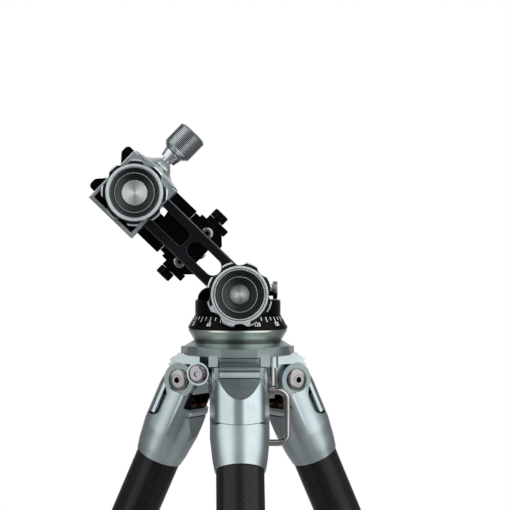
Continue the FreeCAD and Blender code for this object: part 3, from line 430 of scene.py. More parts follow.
@dataclass(frozen=True)
class PolishedSteel(Finish):
    """Polished stainless steel with hairlines and faint smears."""

    colour: Colour = (0.30, 0.29, 0.28)
    roughness: float = 0.13
    smear_scale: float = 160.0
    smear_shade: float = 0.9
    hair_scale: tuple[float, float, float] = (400.0, 3500.0, 900.0)
    hair_height: float = 0.000004
    smear_band: Band = (0.4, 0.6)
    rough_play: Band = (0.04, 0.08)
    hair_strength: float = 0.5

    def material(self) -> bpy.types.Material:
        """Builds the material."""
        g = self.graph()
        point = g.point()
        smear = g.noise(point, self.smear_scale, 3.0)
        hair = g.streaks(point, self.hair_scale, 2.0)
        dark = scaled(self.colour, self.smear_shade)
        return g.surface(g.blended(g.spread(smear, *self.smear_band), dark, self.colour), 1.0,
                         g.about(smear, self.roughness, *self.rough_play),
                         Normal=g.bumped(hair, self.hair_height, self.hair_strength))


@dataclass(frozen=True)
class CarbonTwill(Finish):
    """Woven carbon in clear resin, laid out on unwrapped coordinates in metres."""

    tow: float = 0.0009
    roughness: float = 0.34
    twill: float = 4.0
    fibre_scale: Band = (9000.0, 300.0)
    cloud_scale: float = 22.0
    deep: Colour = (0.0003, 0.0003, 0.0005)
    pale: Colour = (0.015, 0.0155, 0.019)
    height: float = 0.00003
    over_limit: float = 0.49
    fibre_shade: Band = (0.65, 1.0)
    over_shade: Band = (0.25, 1.0)
    cloud_shade: Band = (0.8, 1.1)
    under_roughness: float = 0.1
    strength: float = 0.8
    coat: float = 0.20
    coat_roughness: float = 0.18
    gloss: float = 0.08

    def material(self) -> bpy.types.Material:
        """Builds the material."""
        g = self.graph()
        point = g.point("UV")
        column, row = (g.maths("DIVIDE", side, self.tow) for side in g.split(point)[:2])
        step = g.maths("ADD", g.maths("FLOOR", column), g.maths("FLOOR", row))
        over = g.maths("LESS_THAN", g.maths("FRACT", g.maths("DIVIDE", step, self.twill)),
                       self.over_limit)
        crowns = [g.maths("PINGPONG", side, 0.5) for side in (row, column)]
        tuft = g.spread(g.blended(over, *crowns, kind="FLOAT"), 0.0, 0.5)
        fine, coarse = self.fibre_scale
        ways = ((coarse, fine, 1.0), (fine, coarse, 1.0))
        fibres = [g.streaks(point, scale, 1.0) for scale in ways]
        fibre = g.blended(over, *fibres, kind="FLOAT")
        tone = tuft
        clouds = g.noise(point, self.cloud_scale, 2.0)
        for share in (g.spread(fibre, *NOISE_BAND, *self.fibre_shade),
                      g.spread(over, 0.0, 1.0, *self.over_shade),
                      g.spread(clouds, *NOISE_BAND, *self.cloud_shade)):
            tone = g.maths("MULTIPLY", tone, share)
        rough = g.spread(over, 0.0, 1.0, self.roughness + self.under_roughness, self.roughness)
        return g.surface(g.blended(tone, self.deep, self.pale), 0.0, rough,
                         Normal=g.bumped(tone, self.height, self.strength),
                         Coat_Weight=self.coat, Coat_Roughness=self.coat_roughness,
                         Specular_IOR_Level=self.gloss)


@dataclass(frozen=True)
class MouldedBlack(Finish):
    """Moulded rubber or plastic with a fine spark texture and a little dust."""

    colour: Colour = (0.022, 0.022, 0.023)
    roughness: float = 0.62
    dust: float = 0.25
    dust_lift: float = 0.035
    dust_scale: float = 70.0
    spark_scale: float = 2400.0
    spark_height: float = 0.00003
    dust_band: Band = (0.5, 0.75)
    rough_play: Band = (0.06, 0.1)
    spark_strength: float = 0.5

    def material(self) -> bpy.types.Material:
        """Builds the material."""
        g = self.graph()
        point = g.point()
        spark = g.noise(point, self.spark_scale, 3.0)
        patch = g.noise(point, self.dust_scale, 4.0)
        pale = tuple(channel + self.dust_lift for channel in self.colour)
        dust = g.maths("MULTIPLY", g.spread(patch, *self.dust_band), self.dust)
        return g.surface(g.blended(dust, self.colour, pale), 0.0,
                         g.about(patch, self.roughness, *self.rough_play),
                         Normal=g.bumped(spark, self.spark_height, self.spark_strength))


@dataclass(frozen=True)
class MarkPaint(Finish):
    """Filled white marking paint, slightly uneven."""

    colour: Colour = (0.80, 0.81, 0.80)
    worn_scale: float = 1500.0
    worn_shade: float = 0.8
    worn_band: Band = (0.4, 0.7)
    rough_band: Band = (0.45, 0.6)

    def material(self) -> bpy.types.Material:
        """Builds the material."""
        g = self.graph()
        worn = g.noise(g.point(), self.worn_scale, 3.0)
        dull = scaled(self.colour, self.worn_shade)
        return g.surface(g.blended(g.spread(worn, *self.worn_band), self.colour, dull), 0.0,
                         g.spread(worn, *NOISE_BAND, *self.rough_band))


@lru_cache(maxsize=None)
def material_of(finish: Finish) -> bpy.types.Material:
    """Returns a finish's material, built the first time that it is asked for."""
    return finish.material()


GREY = BlastedAnodising("grey_anodising", (0.325, 0.380, 0.390), 0.32)
# Painted shade: a darker copy of the grey anodising for the hinge ears' flats.
EAR_PAINTED_SHADE = BlastedAnodising("ear_painted_shade", (0.175, 0.205, 0.210), 0.32)
TAB_GREY = BlastedAnodising("tab_anodising", (0.305, 0.357, 0.367), 0.20)
LIGHT_GREY = BlastedAnodising("housing_anodising", (0.33, 0.37, 0.385), 0.34)
PALE = BlastedAnodising("pale_anodising", (0.55, 0.60, 0.61), 0.30)
KNOB = BlastedAnodising("knob_anodising", (0.58, 0.625, 0.635), 0.48)
SATIN = BlastedAnodising("satin_grip", (0.40, 0.44, 0.455), 0.27, cloud=0.04, wear=0.0)
# Painted shade: dark colour for the grooves between the grip's rings.
GROOVE_PAINTED_SHADE = BlastedAnodising("groove_painted_shade", (0.055, 0.062, 0.064), 0.35, cloud=0.04, wear=0.0)
DISH = BlastedAnodising("dish_anodising", (0.027, 0.035, 0.034), 0.28, cloud=0.05, wear=0.0)
OLIVE = BlastedAnodising("base_anodising", (0.37, 0.42, 0.375), 0.25, cloud=0.05)
# Painted shade: a dark copy of the shoulder's grey for its neck under the ring.
NECK_PAINTED_SHADE = BlastedAnodising("neck_painted_shade", (0.085, 0.096, 0.087), 0.28, cloud=0.05)
BLACK = BlastedAnodising("black_anodising", (0.0009, 0.0010, 0.0016), 0.24, 0.0, cloud=0.2,
                         wear=0.04, edge_colour=(0.10, 0.11, 0.12), gloss=0.04)
RAIL_BLACK = BlastedAnodising("arm_anodising", (0.0035, 0.0038, 0.0050), 0.28, 0.0, cloud=0.2,
                              wear=0.02, edge_colour=(0.16, 0.17, 0.18), gloss=0.12)
# Painted highlight: a lighter colour for the edges and sides of the arm's rails.
RAIL_PAINTED_HIGHLIGHT = BlastedAnodising("arm_painted_highlight", (0.055, 0.060, 0.066), 0.26, cloud=0.1, wear=0.0)
HEADS = TurnedHead("turned_heads", (0.23, 0.222, 0.225), 0.11)
PLUG = PolishedSteel("plug_steel", (0.24, 0.23, 0.245), 0.06)
STEEL = PolishedSteel("polished_steel")
COPPER = PolishedSteel("spring_bronze", (0.10, 0.045, 0.025), 0.32)
CARBON = CarbonTwill("carbon_twill")
RUBBER = MouldedBlack("moulded_rubber")
MARKS = MarkPaint("marking_paint")


# --- mesh helpers
EDGE_ANGLE = math.radians(30.0)
SHARP_ANGLE = math.radians(34)
FLAT_ANGLE = math.radians(0.05)
WELD_DISTANCE = 2e-6


def in_scene(name: str, data: bpy.types.ID) -> Piece:
    """Adds an object to the scene.

    Args:
        name: Its name.
        data: The mesh, light or camera that it shows.

    Returns:
        The object.
    """
    made = bpy.data.objects.new(name, data)
    bpy.context.scene.collection.objects.link(made)
    return made


def new_piece(name: str, mesh: Mesh, finish: Finish, node: str, place: Optional[Matrix] = None,
              replaces: bool = False) -> Piece:
    """Makes a finished piece that rides with a node, smooth over its bevels and flat on its flats.

    Args:
        name: The piece's name.
        mesh: Its mesh, freed here.
        finish: The finish that it is dressed in.
        node: The node whose body it rides on.
        place: Placement of its own origin.
        replaces: Whether it takes the node's place in the picture.

    Returns:
        The new object.
    """
    data = bpy.data.meshes.new(name)
    mesh.to_mesh(data)
    mesh.free()
    piece = in_scene(name, data)
    if place is not None:
        piece.matrix_world = place
    data.materials.append(material_of(finish))
    for face in data.polygons:
        face.use_smooth = True
    data.set_sharp_from_angle(angle=SHARP_ANGLE)
    flats = piece.modifiers.new("flats", "WEIGHTED_NORMAL")
    flats.keep_sharp = True
    flats.weight = FLATS_WEIGHT
    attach(piece, body_of(node))
    if replaces:
        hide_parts(node)
    return piece


def softened(node: str, finish: Finish, width: float, segments: int = 2) -> Piece:
    """Replaces a node with a copy whose edges are rounded as machined edges are.

    Args:
        node: The node to replace.
        finish: The finish of the copy.
        width: Width of the rounded edges, 0 to keep them as they are.
        segments: Faces across each rounded edge.

    Returns:
        The piece that stands for the node.
    """
    mesh = bmesh.new()
    mesh.from_mesh(cad_mesh(node))
    for layer in list(mesh.loops.layers.float_vector):
        mesh.loops.layers.float_vector.remove(layer)
    bmesh.ops.remove_doubles(mesh, verts=mesh.verts, dist=WELD_DISTANCE)
    bmesh.ops.dissolve_limit(mesh, angle_limit=FLAT_ANGLE, use_dissolve_boundaries=False,
                             verts=mesh.verts, edges=mesh.edges)
    if width:
        sharp = [edge for edge in mesh.edges
                 if len(edge.link_faces) == 2 and edge.calc_face_angle(0.0) > EDGE_ANGLE]
        bmesh.ops.bevel(mesh, geom=sharp, offset=width, offset_type="OFFSET", segments=segments,
                        profile=0.5, affect="EDGES", clamp_overlap=True, loop_slide=True)
    return new_piece(node + "_body", mesh, finish, node, replaces=True)


def paint(piece: Piece, finish: Finish, picked: Callable[[Face], bool]) -> None:
    """Gives some of the faces that still have a piece's first finish another one.

    Args:
        piece: The piece.
        finish: The other finish.
        picked: Says whether a face takes it.
    """
    piece.data.materials.append(material_of(finish))
    index = len(piece.data.materials) - 1
    for face in piece.data.polygons:
        if not face.material_index and picked(face):
            face.material_index = index


def crease_flat(piece: Piece, outward: Vector) -> None:
    """Keeps the outline of a flat crisp where the flat meets a curved face.

    Args:
        piece: The piece that has the flat.
        outward: The direction that the flat faces.
    """
    uses: dict[tuple[int, int], int] = {}
    for face in piece.data.polygons:
        if face.normal.dot(outward) > FLAT_COSINE:
            for key in face.edge_keys:
                uses[key] = uses.get(key, 0) + 1
    for edge in piece.data.edges:
        if uses.get(edge.key) == 1:
            edge.use_edge_sharp = True


def lofted(mesh: Mesh, rings: list[Ring]) -> list[bmesh.types.BMFace]:
    """Joins each ring of corners to the next with a band of faces.

    Args:
        mesh: The mesh that has them.
        rings: The rings, all of one count.

    Returns:
        The new faces, band by band.
    """
    faces = []
    for ring, other in zip(rings, rings[1:]):
        for k in range(len(ring)):
            after = (k + 1) % len(ring)
            faces.append(mesh.faces.new((ring[k], ring[after], other[after], other[k])))
    return faces


def turned(profile: Profile, count: int = 256) -> Mesh:
    """Makes a mesh turned about Z.

    Args:
        profile: Radius and height of each corner of its closed outline.
        count: Faces around it.

    Returns:
        The new mesh, its faces band by band.
    """
    mesh = bmesh.new()
    turns = [math.tau * k / count for k in range(count)]
    rings = [[mesh.verts.new((radius * math.cos(turn), radius * math.sin(turn), height))
              for turn in turns] for radius, height in profile]
    lofted(mesh, rings + rings[:1])
    bmesh.ops.recalc_face_normals(mesh, faces=mesh.faces)
    return mesh


# --- screws
@dataclass(frozen=True)
class DomedScrew:
    """Round-headed screw with a domed face and a hexagon socket, by the socket's sizes; the socket is painted
    black as shade.
    """

    half_width: float
    depth: float
    ring: float
    dome: float
    reach: float = 0.010
    faces: int = 72
    steps: int = 6
    edge: float = 0.0005
    near: float = 0.0002
    lowered: float = 0.00002
    chamfer: float = 0.0003
    lip: float = 0.0002
    lip_drop: float = 0.00025
    floor_share: float = 0.98
    mouth_share: float = 1.08

    def sections(self, places: list[tuple[float, float]]) -> list[tuple[float, float, float]]:
        """Lists the screw's rings from the socket's floor over the face and down the shank.

        Args:
            places: Depth and radius of each corner of the screw that it stands for.

        Returns:
            Each ring's share of the hexagon or else its radius, and its height.
        """
        start, top = min(places)[0], max(places)[0] - self.lowered
        radius = max(reach for _, reach in places)
        seat = min(depth for depth, reach in places if reach > radius - self.near)
        shank = max(reach for depth, reach in places if depth < start + self.near)
        low, drop, span = top - self.dome, self.lip_drop, radius - self.edge - self.ring
        rings = [(self.floor_share, 0.0, top - self.depth), (1.0, 0.0, top - self.chamfer),
                 (self.mouth_share, 0.0, top),
                 (0.0, self.ring, top), (0.0, self.ring + self.lip, top - drop)]
        for share in (step / self.steps for step in range(1, self.steps + 1)):
            fall = drop + (self.dome - drop) * share * share
            rings.append((0.0, self.ring + span * share, top - fall))
        return rings + [(0.0, radius, low - self.edge), (0.0, radius, seat), (0.0, shank, seat),
                        (0.0, shank, start)]

    def add(self, mesh: Mesh, place: Matrix, places: list[tuple[float, float]]) -> None:
        """Adds one screw to a mesh.

        Args:
            mesh: The mesh to add to.
            place: Where its axis and origin go.
            places: Depth and radius of each corner of the screw that it stands for.
        """
        layer = mesh.verts.layers.float_vector[RADIAL]
        rings = []
        for hexagon, circle, height in self.sections(places):
            ring = []
            for k in range(self.faces):
                angle = math.tau * k / self.faces
                turn = (angle % (math.pi / 3)) - math.pi / 6
                radius = circle or hexagon * self.half_width / math.cos(turn)
                outward = Vector((math.cos(angle), math.sin(angle), 0.0))
                ring.append(mesh.verts.new(place @ (outward * radius + UP * height)))
                ring[-1][layer] = place.to_3x3() @ outward
            rings.append(ring)
        # Painted shade: the socket's floor and walls take the second finish, black.
        floor = mesh.faces.new(reversed(rings[0]))
        for face in [floor] + lofted(mesh, rings)[:self.faces]:
            face.material_index = 1
        mesh.faces.new(rings[-1])
        bmesh.ops.recalc_face_normals(mesh, faces=mesh.faces)

    def replace(self, node: str, axes: list[tuple[Vector, Vector]]) -> Piece:
        """Replaces a node of such screws.

        Args:
            node: The node to replace.
            axes: A point on each screw's axis, and the axis out of its head.

        Returns:
            The piece that stands for the node.
        """
        mesh = bmesh.new()
        mesh.verts.layers.float_vector.new(RADIAL)
        for centre, axis in axes:
            places = (along_and_off(corner.co - centre, axis) for corner in cad_mesh(node).vertices)
            own = [(depth, off) for depth, off in places if depth > 0.0 and off < self.reach]
            self.add(mesh, axes_matrix(centre, axis, UP), own)
        piece = new_piece(node + "_body", mesh, HEADS, node, replaces=True)
        # Black is the second finish, painted as shade inside the sockets.
        piece.data.materials.append(material_of(BLACK))
        return piece


BOLT = DomedScrew(0.0019, 0.0015, 0.0034, 0.0012)
BUTTON = DomedScrew(0.0015, 0.0011, 0.0026, 0.0005)


# --- head
@dataclass(frozen=True)
class DishLine:
    """A thin line in a knob's face, by its two radii and its finish: pale lines are painted highlights on the
    dish's step edges, and dark lines painted shade.
    """

    inner: float
    outer: float
    finish: Finish


@dataclass
class LobedKnob:
    """One of the two large lobed knobs, with its stepped dish and its spun disc."""

    node: str
    pin: Pin
    lines: list[DishLine]
    # Share of the disc's colour left at its rim: painted shade, darker towards the rim.
    rim_share: float = 0.8
    edge: float = 0.0012
    dish_share: float = 0.86
    dish_step: float = 0.0007
    front_slack: float = 0.0001
    line_proud: float = 0.00003
    line_faces: int = 128
    sight: float = 0.1
    disc_edge: float = 0.0002
    disc_colour: Colour = (0.66, 0.70, 0.70)
    disc_roughness: float = 0.5

    def build(self) -> list[Piece]:
        """Builds the knob's body, disc, and its thin lines of painted highlight and painted shade."""
        body = softened(self.node, KNOB, self.edge, 3)
        self.dress_dish(body)
        name = self.node + "_disc"
        low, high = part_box(name)
        spun = TurnedMetal(name + "_spun", self.disc_colour, self.disc_roughness,
                           tuple((low + high) / 2), tuple(self.pin.axis),
                           rim_share=self.rim_share)
        lines = (self.line(f"{self.node}_line_{count}", line)
                 for count, line in enumerate(self.lines, 1))
        return [body, softened(name, spun, self.disc_edge), *lines]

    def line(self, name: str, line: DishLine) -> Piece:
        """Builds a thin raised line around the knob's face, painted highlight when pale and painted shade when
        dark.

        Args:
            name: The piece's name.
            line: Its radii and finish.

        Returns:
            The new piece.
        """
        depth = self.face_depth((line.inner + line.outer) / 2)
        low, high = depth - self.line_proud, depth + self.line_proud
        profile = [(line.inner, low), (line.inner, high), (line.outer, high), (line.outer, low)]
        return new_piece(name, turned(profile, self.line_faces), line.finish, self.node,
                         axes_matrix(self.pin.centre, self.pin.axis, UP))

    def face_depth(self, radius: float) -> float:
        """Finds how far out the knob's face lies at a radius.

        Args:
            radius: Distance from the knob's axis.

        Returns:
            The distance along the axis from the joint's centre.
        """
        axis, centre = self.pin.axis, self.pin.centre
        place = frame["nodes"][self.node].matrix_world
        mesh = cad_mesh(self.node)
        tree = BVHTree.FromPolygons([place @ vertex.co for vertex in mesh.vertices],
                                    [tuple(face.vertices) for face in mesh.polygons])
        across = axis.cross(UP).normalized()
        point = tree.ray_cast(centre + across * radius + axis * self.sight, -axis)[0]
        return (point - centre).dot(axis) if point else 0.0

    def dress_dish(self, body: Piece) -> None:
        """Gives the faces inside the dish their darker finish.

        Args:
            body: The knob's body.
        """
        places = [self.pin.locate(vertex.co) for vertex in body.data.vertices]
        front = max(places)[0]
        rim = max(radius for depth, radius in places if depth > front - self.front_slack)

        def in_dish(face: Face) -> bool:
            """Says whether a face lies in the dish."""
            depth, radius = self.pin.locate(face.center)
            return radius < rim * self.dish_share and depth < front - self.dish_step

        paint(body, DISH, in_dish)


@dataclass
class UpperHousing:
    """Grey block at the arm's end, with its trumpet flange and ringed grip."""

    edge: float = 0.0005
    skin: float = 0.0012
    pocket_depth: float = 0.0095
    crest: float = 0.00005
    groove: float = 0.0002
    grip_depth: float = 0.0008

    def build(self) -> list[Piece]:
        """Builds the block, flange and grip."""
        return [self.block(), softened("flange_boss", PALE, 0.0003), self.grip()]

    def grip(self) -> Piece:
        """Builds the ribbed grip, with painted shade in the grooves between its rings.

        Returns:
            The piece that stands for the grip.
        """
        grip = softened("ribbed_knob", SATIN, 0.0)
        places = [Pin.GRIP.locate(vertex.co) for vertex in grip.data.vertices]
        outer = max(radius for _, radius in places)
        crests = [depth for depth, radius in places if radius > outer - self.crest]
        low, high = min(crests), max(crests)

        def in_groove(face: Face) -> bool:
            """Says whether a face lies between two rings, where shade is painted."""
            radii = [places[index][1] for index in face.vertices]
            between = low < Pin.GRIP.locate(face.center)[0] < high
            sunk = min(radii) < outer - self.groove and max(radii) > outer - self.grip_depth
            return between and sunk

        # Painted shade: the grooves between the rings take a dark grey.
        paint(grip, GROOVE_PAINTED_SHADE, in_groove)
        return grip

    def block(self) -> Piece:
        """Builds the block, with black painted inside its pocket as shade.

        Returns:
            The piece that stands for the housing.
        """
        block = softened("upper_housing", LIGHT_GREY, self.edge)
        across, outward = Pin.GRIP.axis, Pin.UPPER_KNOB.axis
        axes = (across, outward, across.cross(outward))
        spans = []
        for axis in axes:
            reach = [vertex.co.dot(axis) for vertex in block.data.vertices]
            spans.append((min(reach), max(reach)))

        def in_pocket(face: Face) -> bool:
            """Says whether a face lies under the block's skin, in the half with the pocket, where shade is
            painted.
            """
            places = [face.center.dot(axis) for axis in axes]
            inside = all(low + self.skin < place < high - self.skin
                         for place, (low, high) in zip(places, spans))
            shallow = places[1] > spans[1][1] - self.pocket_depth
            return inside and shallow and places[0] < sum(spans[0]) / 2

        # Painted shade: the faces inside the pocket take black.
        paint(block, BLACK, in_pocket)
        return block


@dataclass
class TiltArm:
    """Black arm between the two pivots, with the axle ends that show."""

    edge: float = 0.0007
    rail_depth: float = 0.0008
    flat_facing: float = 0.99

    def build(self) -> list[Piece]:
        """Builds the arm, glossier on its rails than on its web, with painted shade on the web and a painted
        highlight on the rails' edges.
        """
        arm = softened("lower_arm", RAIL_BLACK, self.edge, 3)
        front = min(vertex.co.y for vertex in arm.data.vertices)
        # Painted shade: the recessed web and the faces behind the rails' fronts take a darker black than the
        # rails, besides being less glossy.
        paint(arm, BLACK, lambda face: face.center.y > front + self.rail_depth)
        # Painted highlight: the rails' edges and sides near the front take a lighter colour.
        paint(arm, RAIL_PAINTED_HIGHLIGHT, lambda face: abs(face.normal.y) < self.flat_facing)
        return [arm, *(softened(node, STEEL, 0.0004) for node in ("lower_axle", "upper_axle"))]


@dataclass
class Cradle:
    """Pronged plate behind the arm, the carriage on its tongue and the plate clamp."""

    edge: float = 0.0009
    screw_room: float = 0.010

    def build(self) -> list[Piece]:
        """Builds the cradle, carriage and clamp."""
        return [softened("cradle_arm", BLACK, self.edge, 3),
                softened("carriage", BLACK, 0.0006),
                BUTTON.replace("carriage_screws", self.screw_axes()),
                softened("clamp_base", BLACK, 0.0005),
                softened("clamp_jaw", BLACK, 0.0005),
                softened("clamp_knob", PALE, 0.0004),
                softened("thumb_knob_right", BLACK, 0.00025),
                softened("thumb_knob_left", BLACK, 0.00025)]

    def screw_axes(self) -> list[tuple[Vector, Vector]]:
        """Finds the two carriage screws.

        Returns:
            The inner end and the outward axis of each.
        """
        points = [vertex.co for vertex in cad_mesh("carriage_screws").vertices]
        middle = sum(point.x for point in points) / len(points)
        outward = Pin.UPPER_KNOB.axis
        axes = []
        for right in (False, True):
            own = [point for point in points if (point.x >= middle) == right]
            low, high = (Vector([pick(point[k] for point in own) for k in range(3)])
                         for pick in (min, max))
            axes.append(((low + high) / 2 - outward * self.screw_room, outward))
        return axes


@dataclass
class PanningBase:
    """Grey ring, graduated black cone, drum and yoke under the head."""

    ring_radius: float = 0.0344
    ring_waist: float = 0.0306
    hub_radius: float = 0.0200
    bore_radius: float = 0.01405
    bore_depth: float = 0.003
    stud_radius: float = 0.0048
    stud_depth: float = 0.0044
    edge: float = 0.0002
    seam_lift: float = 0.0011
    seam_gap: float = 0.00005
    lip_height: float = 0.0027
    lip_edge: float = 0.0004
    cone_top_radius: float = 0.0301
    tick_pitch_deg: float = 7.5
    tick_width: float = 0.00055
    tick_long: float = 0.0034
    tick_short: float = 0.0022
    tick_drop: float = 0.0007
    figure_height: float = 0.0026
    figure_squeeze: float = 0.82
    figure_drop: float = 0.0054
    figure_step: int = 30
    ninety_at_deg: float = -98.0
    proud: float = 0.00005
    figure_share: float = 0.7
    figure_spacing: float = 1.1
    figure_weight: float = 0.03
    lip_relief: float = 0.0001
    waist_drop: float = 0.0016
    lip_drop: float = 0.0013

    def build(self) -> list[Piece]:
        """Builds the base and its markings."""
        rings = (("base_ring", self.ring_profile(), OLIVE),
                 ("scale_ring", self.scale_profile(), BLACK))
        return [*(new_piece(node + "_body", turned(profile), finish, node, replaces=True)
                  for node, profile, finish in rings),
                softened("pan_drum", BLACK, 0.0004),
                softened("pan_yoke", BLACK, 0.0006),
                softened("pan_lock_knob", STEEL, 0.0003),
                self.markings()]

    def ring_profile(self) -> Profile:
        """Outlines the grey ring.

        Returns:
            The radius and height of each corner.
        """
        low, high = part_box("base_ring")
        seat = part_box("scale_ring")[0].z + self.seam_lift
        lip = self.ring_radius
        return [(self.stud_radius, low.z), (self.ring_waist, low.z),
                (lip - self.lip_relief, seat - self.waist_drop), (lip, seat - self.lip_drop),
                (lip, seat - self.edge), (lip - self.edge, seat),
                (self.hub_radius, seat), (self.hub_radius, high.z), (self.bore_radius, high.z),
                (self.bore_radius, high.z - self.bore_depth),
                (self.stud_radius, high.z - self.stud_depth)]

    def scale_profile(self) -> Profile:
        """Outlines the graduated ring.

        Returns:
            The radius and height of each corner.
        """
        low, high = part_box("scale_ring")
        lip = (high.x - low.x) / 2
        foot = low.z + self.seam_lift
        bore = self.hub_radius + self.seam_gap
        return [(bore, foot), (lip - self.lip_edge, foot), (lip, foot + self.lip_edge),
                (lip, low.z + self.lip_height), (self.cone_top_radius, high.z), (bore, high.z)]

    def on_cone(self, angle: float, drop: float) -> Vector:
        """Finds a place on the graduated cone.

        Args:
            angle: Angle about the pan axis, in radians.
            drop: Height below the cone's top edge.

        Returns:
            The place, a little proud of the surface.
        """
        low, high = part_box("scale_ring")
        share = drop / (high.z - (low.z + self.lip_height))
        flare = (high.x - low.x) / 2 - self.cone_top_radius
        radius = self.cone_top_radius + flare * share + self.proud
        return Vector((radius * math.cos(angle), radius * math.sin(angle), high.z - drop))

    def cone_angle(self, across: float, drop: float) -> float:
        """Turns a distance along the cone's girth into an angle."""
        return across / self.on_cone(0.0, drop).x

    def tick(self, mesh: Mesh, angle: float, length: float) -> None:
        """Adds one tick to the markings.

        Args:
            mesh: The markings' mesh.
            angle: The tick's angle, in radians.
            length: Its length down the cone.
        """
        half, top = self.cone_angle(self.tick_width / 2, self.tick_drop), self.tick_drop
        corners = ((-half, top), (-half, top + length), (half, top + length), (half, top))
        mesh.faces.new([mesh.verts.new(self.on_cone(angle + turn, drop)) for turn, drop in corners])

    def figure(self, mesh: Mesh, number: int, angle: float) -> None:
        """Adds one number of the scale to the markings.

        Args:
            mesh: The markings' mesh.
            number: The number to write.
            angle: Angle of its middle, in radians.
        """
        text = bpy.data.curves.new("figure", "FONT")
        text.body = str(number)
        text.size = self.figure_height / self.figure_share
        text.align_x = "CENTER"
        text.space_character = self.figure_spacing
        text.offset = self.figure_height * self.figure_weight
        holder = bpy.data.objects.new("figure", text)
        flat = bpy.data.meshes.new_from_object(holder)
        start = len(mesh.verts)
        mesh.from_mesh(flat)
        mesh.verts.ensure_lookup_table()
        for vertex in mesh.verts[start:]:
            drop = self.figure_drop + self.figure_height / 2 - vertex.co.y
            across = vertex.co.x * self.figure_squeeze
            vertex.co = self.on_cone(angle + self.cone_angle(across, drop), drop)
        bpy.data.objects.remove(holder)
        bpy.data.curves.remove(text)
        bpy.data.meshes.remove(flat)

    def markings(self) -> Piece:
        """Builds the ticks and numbers around the cone.

        Returns:
            One piece with all of them.
        """
        mesh = bmesh.new()
        for number in range(0, 360, self.figure_step):
            self.figure(mesh, number, math.radians(self.ninety_at_deg + number - 90))
        for index in range(round(360 / self.tick_pitch_deg)):
            angle = self.ninety_at_deg + index * self.tick_pitch_deg
            self.tick(mesh, math.radians(angle), self.tick_short if index % 2 else self.tick_long)
        return new_piece("scale_markings", mesh, MARKS, "scale_ring")


# --- stand
@dataclass
class Shoulder:
    """Three-lobed shoulder with its lugs, pins, plug and hanging bail."""

    edge: float = 0.0005
    neck_height: float = 0.0032
    neck_radius: float = 0.0325

    def build(self) -> list[Piece]:
        """Builds the shoulder and what is fastened to it."""
        body = softened("shoulder", GREY, self.edge)
        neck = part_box("shoulder")[1].z - self.neck_height
        # Painted shade: the top of the shoulder around its neck, under the grey ring, takes a dark olive.
        paint(body, NECK_PAINTED_SHADE, lambda face: face.center.z > neck
              and math.hypot(face.center.x, face.center.y) < self.neck_radius)
        hinges = ["splay_" + side.value for side in Side]
        axes = [(joint_place(name), joint_axis(name) * way) for name in hinges for way in (1, -1)]
        return [body,
                BOLT.replace("pivot_bolts", axes),
                softened("accessory_plug", PLUG, 0.0003, 3),
                softened("bail_post", STEEL, 0.0004),
                softened("hanging_bail", STEEL, 0.0002)]


